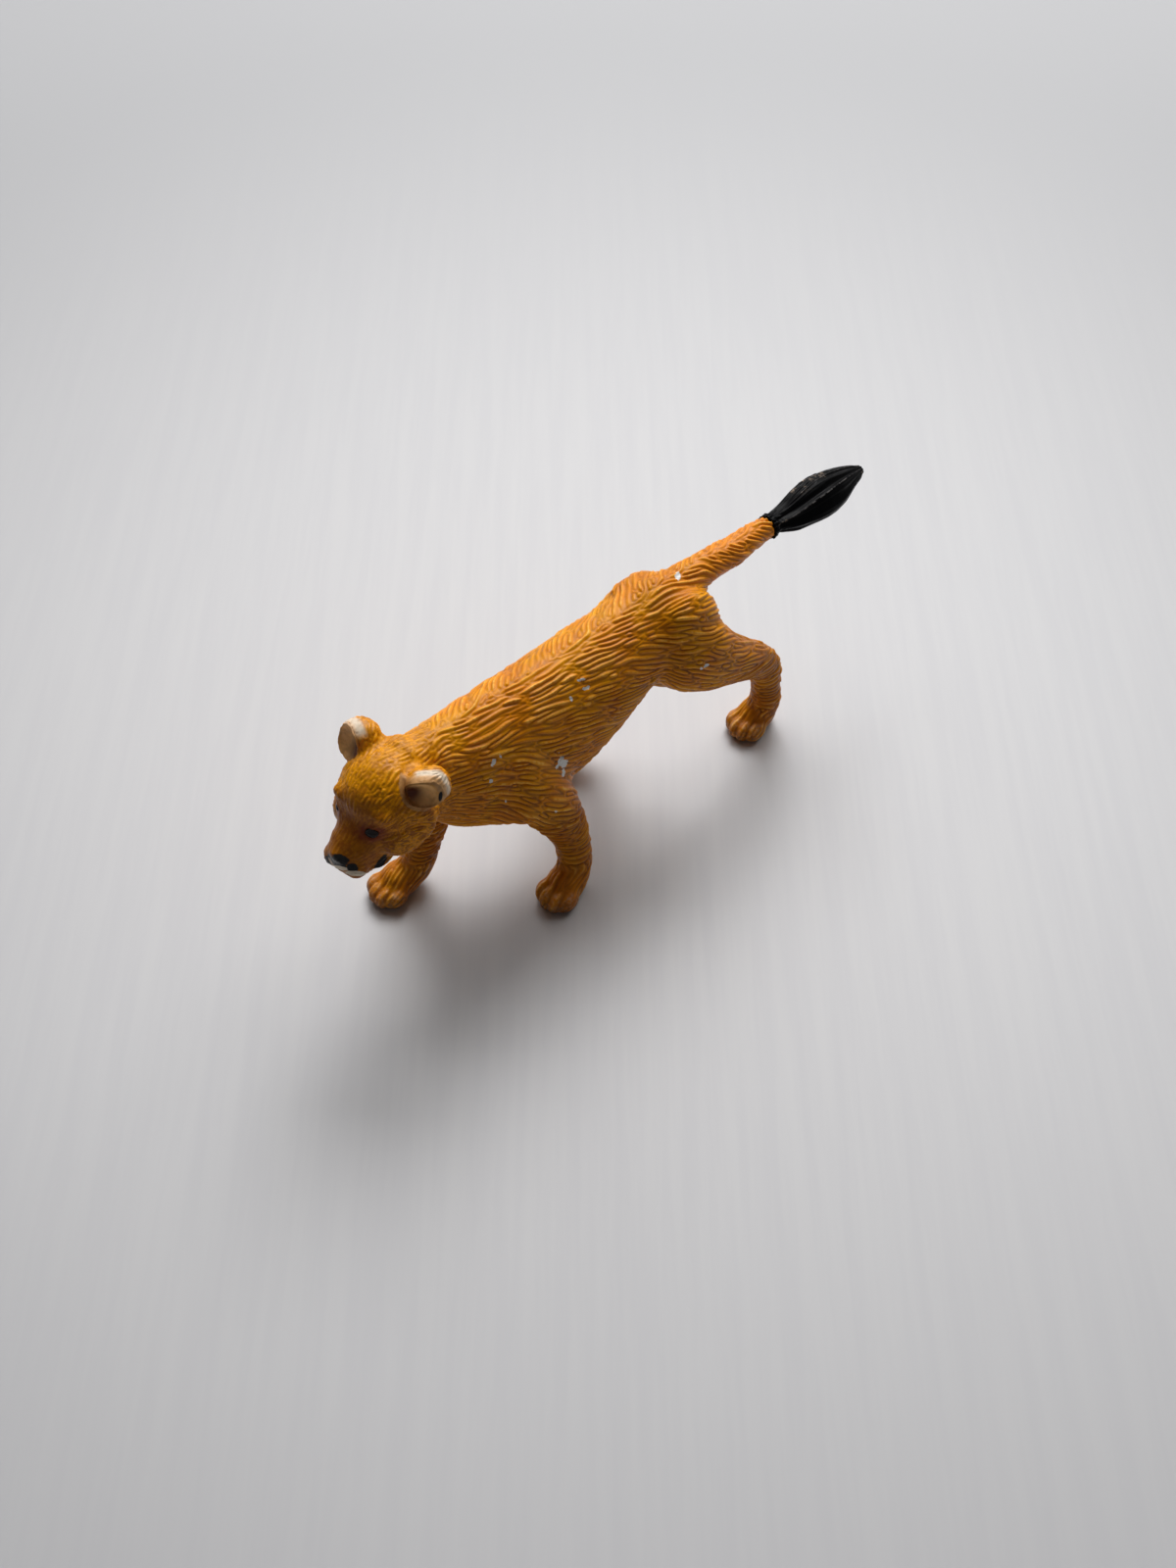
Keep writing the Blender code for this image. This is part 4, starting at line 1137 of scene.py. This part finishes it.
def tuft():
    """The tuft: a spear of combed locks with sharp crests, over the casting's own form."""
    centres, radii, ways, tip = tuft_form()
    crest_angles = math.pi / 2 + np.arange(TUFT_CRESTS) * 2 * math.pi / TUFT_CRESTS
    crest_angles = crest_angles + rng.uniform(-0.16, 0.16, TUFT_CRESTS)
    crest_starts = rng.uniform(-0.15, 0.2, TUFT_CRESTS)
    crest_leans = rng.uniform(-0.5, 0.5, TUFT_CRESTS)
    places, worn, crests = [], [], []
    for share, centre, row in zip(TUFT_SHARES, centres, radii):
        ending = ramp(1.0, 0.93, share)
        sagging = TUFT_SAG * float(ramp(0.06, 0.25, share) * ramp(0.88, 0.6, share))
        collar_lumps = COLLAR_LUMPS * float(ramp(0.16, 0.05, share))
        collar_radius = TAIL_END_RADIUS * float(ramp(0.16, 0.03, share))
        worn_part = ramp(0.25, 0.45, share) * ramp(0.8, 0.6, share)
        for angle, way, radius in zip(TUFT_ANGLES, ways, row):
            radius += sagging * max(0, way @ SAG_WAY) ** 2
            crest = 0.0
            for crest_angle, crest_start, lean in zip(crest_angles, crest_starts, crest_leans):
                off = (angle - crest_angle - lean * (share - 0.5) + math.pi) % (2 * math.pi) - math.pi
                height_share = float(ramp(crest_start, crest_start + 0.25, share))
                crest = max(crest, height_share * math.exp(-(off / CREST_WIDTH) ** 2))
            wave = Vector((3 * math.cos(angle), 3 * math.sin(angle), share * 2.2))
            hairline = math.sin(HAIRLINES * angle + 3 * noise.noise(wave))
            top = max(0, math.cos(angle - TUFT_WORN_SIDE)) ** 3 * worn_part
            swell = crest * CREST_HEIGHT - CREST_SINK + HAIRLINE_HEIGHT * hairline
            swell += LOCK_HEIGHT * noise.noise(wave * 2.1)
            swell += collar_lumps * noise.noise(wave * 1.5 + Vector((0, share * 30, 7)))
            swell += top * WORN_LUMPS * noise.noise(Vector((share * 22, angle * 2, 5)))
            radius = max(radius, collar_radius)
            places.append(centre + way * max(radius + swell * min(1, radius / MM) * ending, 0.02 * MM))
            crests.append(crest)
            wear = top * (0.35 + 0.65 * crest) + ramp(0.93, 0.99, share)
            # The collar's crests take the pale paint as a painted highlight.
            worn.append(min(1, float(wear + 0.6 * ramp(0.14, 0.03, share) * crest)))
    places += [centres[0], tip]
    mesh = bpy.data.meshes.new("tuft_form")
    mesh.from_pydata([tuple(p) for p in places], [], tube_faces(TUFT_STATIONS, TUFT_SPOKES))
    bm = bmesh.new()
    bm.from_mesh(mesh)
    bmesh.ops.recalc_face_normals(bm, faces=bm.faces)
    mesh = mesh_from(bm, "tuft_locks", smooth=True)
    write_shares(mesh, "edge", worn + [0.3, 1.0])
    write_shares(mesh, "crest", crests + [0.0, 0.0])
    mesh.materials.append(gloss.material)
    obj = new_object("tuft_locks", mesh)
    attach(obj, "root")
    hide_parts("tail_tuft")


tuft()


# ------------ floor, light, camera
FLOOR_REACH = 1.5
# The floor's faint streaks run upright in the photograph.
STREAK_STRETCH, STREAK_TURN = 20, math.radians(46.8)
# One window behind the figure, lit as a bright middle and a wider glow: sizes in m and powers in W.
WINDOW_PLACE = (-0.425, 0.505, 0.683)
WINDOW_LAMPS = {"window": ((0.5, 0.4), 6.7), "window_glow": ((1.5, 1.1), 9.5)}
AMBIENT, SURROUND = 0.04, 0.55


def floor():
    bm = bmesh.new()
    bmesh.ops.create_grid(bm, x_segments=1, y_segments=1, size=FLOOR_REACH)
    mesh = mesh_from(bm, "floor")
    paint = Paint("floor_paint")
    streak = paint.noise(2.2 * MM, 4, 0.6, paint.framed((1, STREAK_STRETCH, 1), (0, 0, STREAK_TURN)))
    paint.colour = paint.mix(paint.between(streak, 0.3, 0.7), *FLOOR_PALES)
    # Painted shade: the floor turns darker farther from its middle, as the light falls off.
    paint.lay(FLOOR_FALLOFF_SHADE, paint.between(paint.length(paint.coordinates), 25 * MM, 200 * MM))
    paint.finish(0.6)
    mesh.materials.append(paint.material)
    obj = new_object("floor", mesh)


def lamp(name, place, size, power):
    light = bpy.data.lights.new(name, "AREA")
    light.shape = "RECTANGLE"
    light.size, light.size_y = size
    light.energy = power
    obj = new_object(name, light)
    obj.location = place
    obj.rotation_euler = (-Vector(place)).to_track_quat("-Z", "Y").to_euler()


def camera():
    data = bpy.data.cameras.new("camera")
    data.sensor_width = SENSOR
    data.lens = FOCAL_PIXELS / IMAGE_HEIGHT * SENSOR
    data.clip_start = 1 * MM
    data.clip_end = 10
    obj = new_object("camera", data)
    turn = Matrix((CAMERA_RIGHT, CAMERA_UP, -CAMERA_AIM)).transposed()
    obj.matrix_world = Matrix.Translation(CAMERA_PLACE) @ turn.to_4x4()
    bpy.context.scene.camera = obj


def surround():
    """A pale surround to look at and for gloss to mirror, dimmer as a light."""
    world = bpy.data.worlds.new("studio")
    bpy.context.scene.world = world
    world.use_nodes = True
    nodes, links = world.node_tree.nodes, world.node_tree.links
    rays = nodes.new("ShaderNodeLightPath")
    seen = rays.outputs["Is Camera Ray"]
    for kind in ("Is Glossy Ray", "Is Transmission Ray"):
        either = nodes.new("ShaderNodeMath")
        either.operation = "MAXIMUM"
        links.new(seen, either.inputs[0])
        links.new(rays.outputs[kind], either.inputs[1])
        seen = either.outputs[0]
    strength = nodes.new("ShaderNodeMapRange")
    strength.inputs["To Min"].default_value = AMBIENT
    strength.inputs["To Max"].default_value = SURROUND
    links.new(seen, strength.inputs["Value"])
    nodes["Background"].inputs["Color"].default_value = (1, 1, 1, 1)
    links.new(strength.outputs["Result"], nodes["Background"].inputs["Strength"])


floor()
camera()
for name, (size, power) in WINDOW_LAMPS.items():
    lamp(name, WINDOW_PLACE, size, power)
surround()
bpy.context.scene.view_settings.view_transform = "Standard"
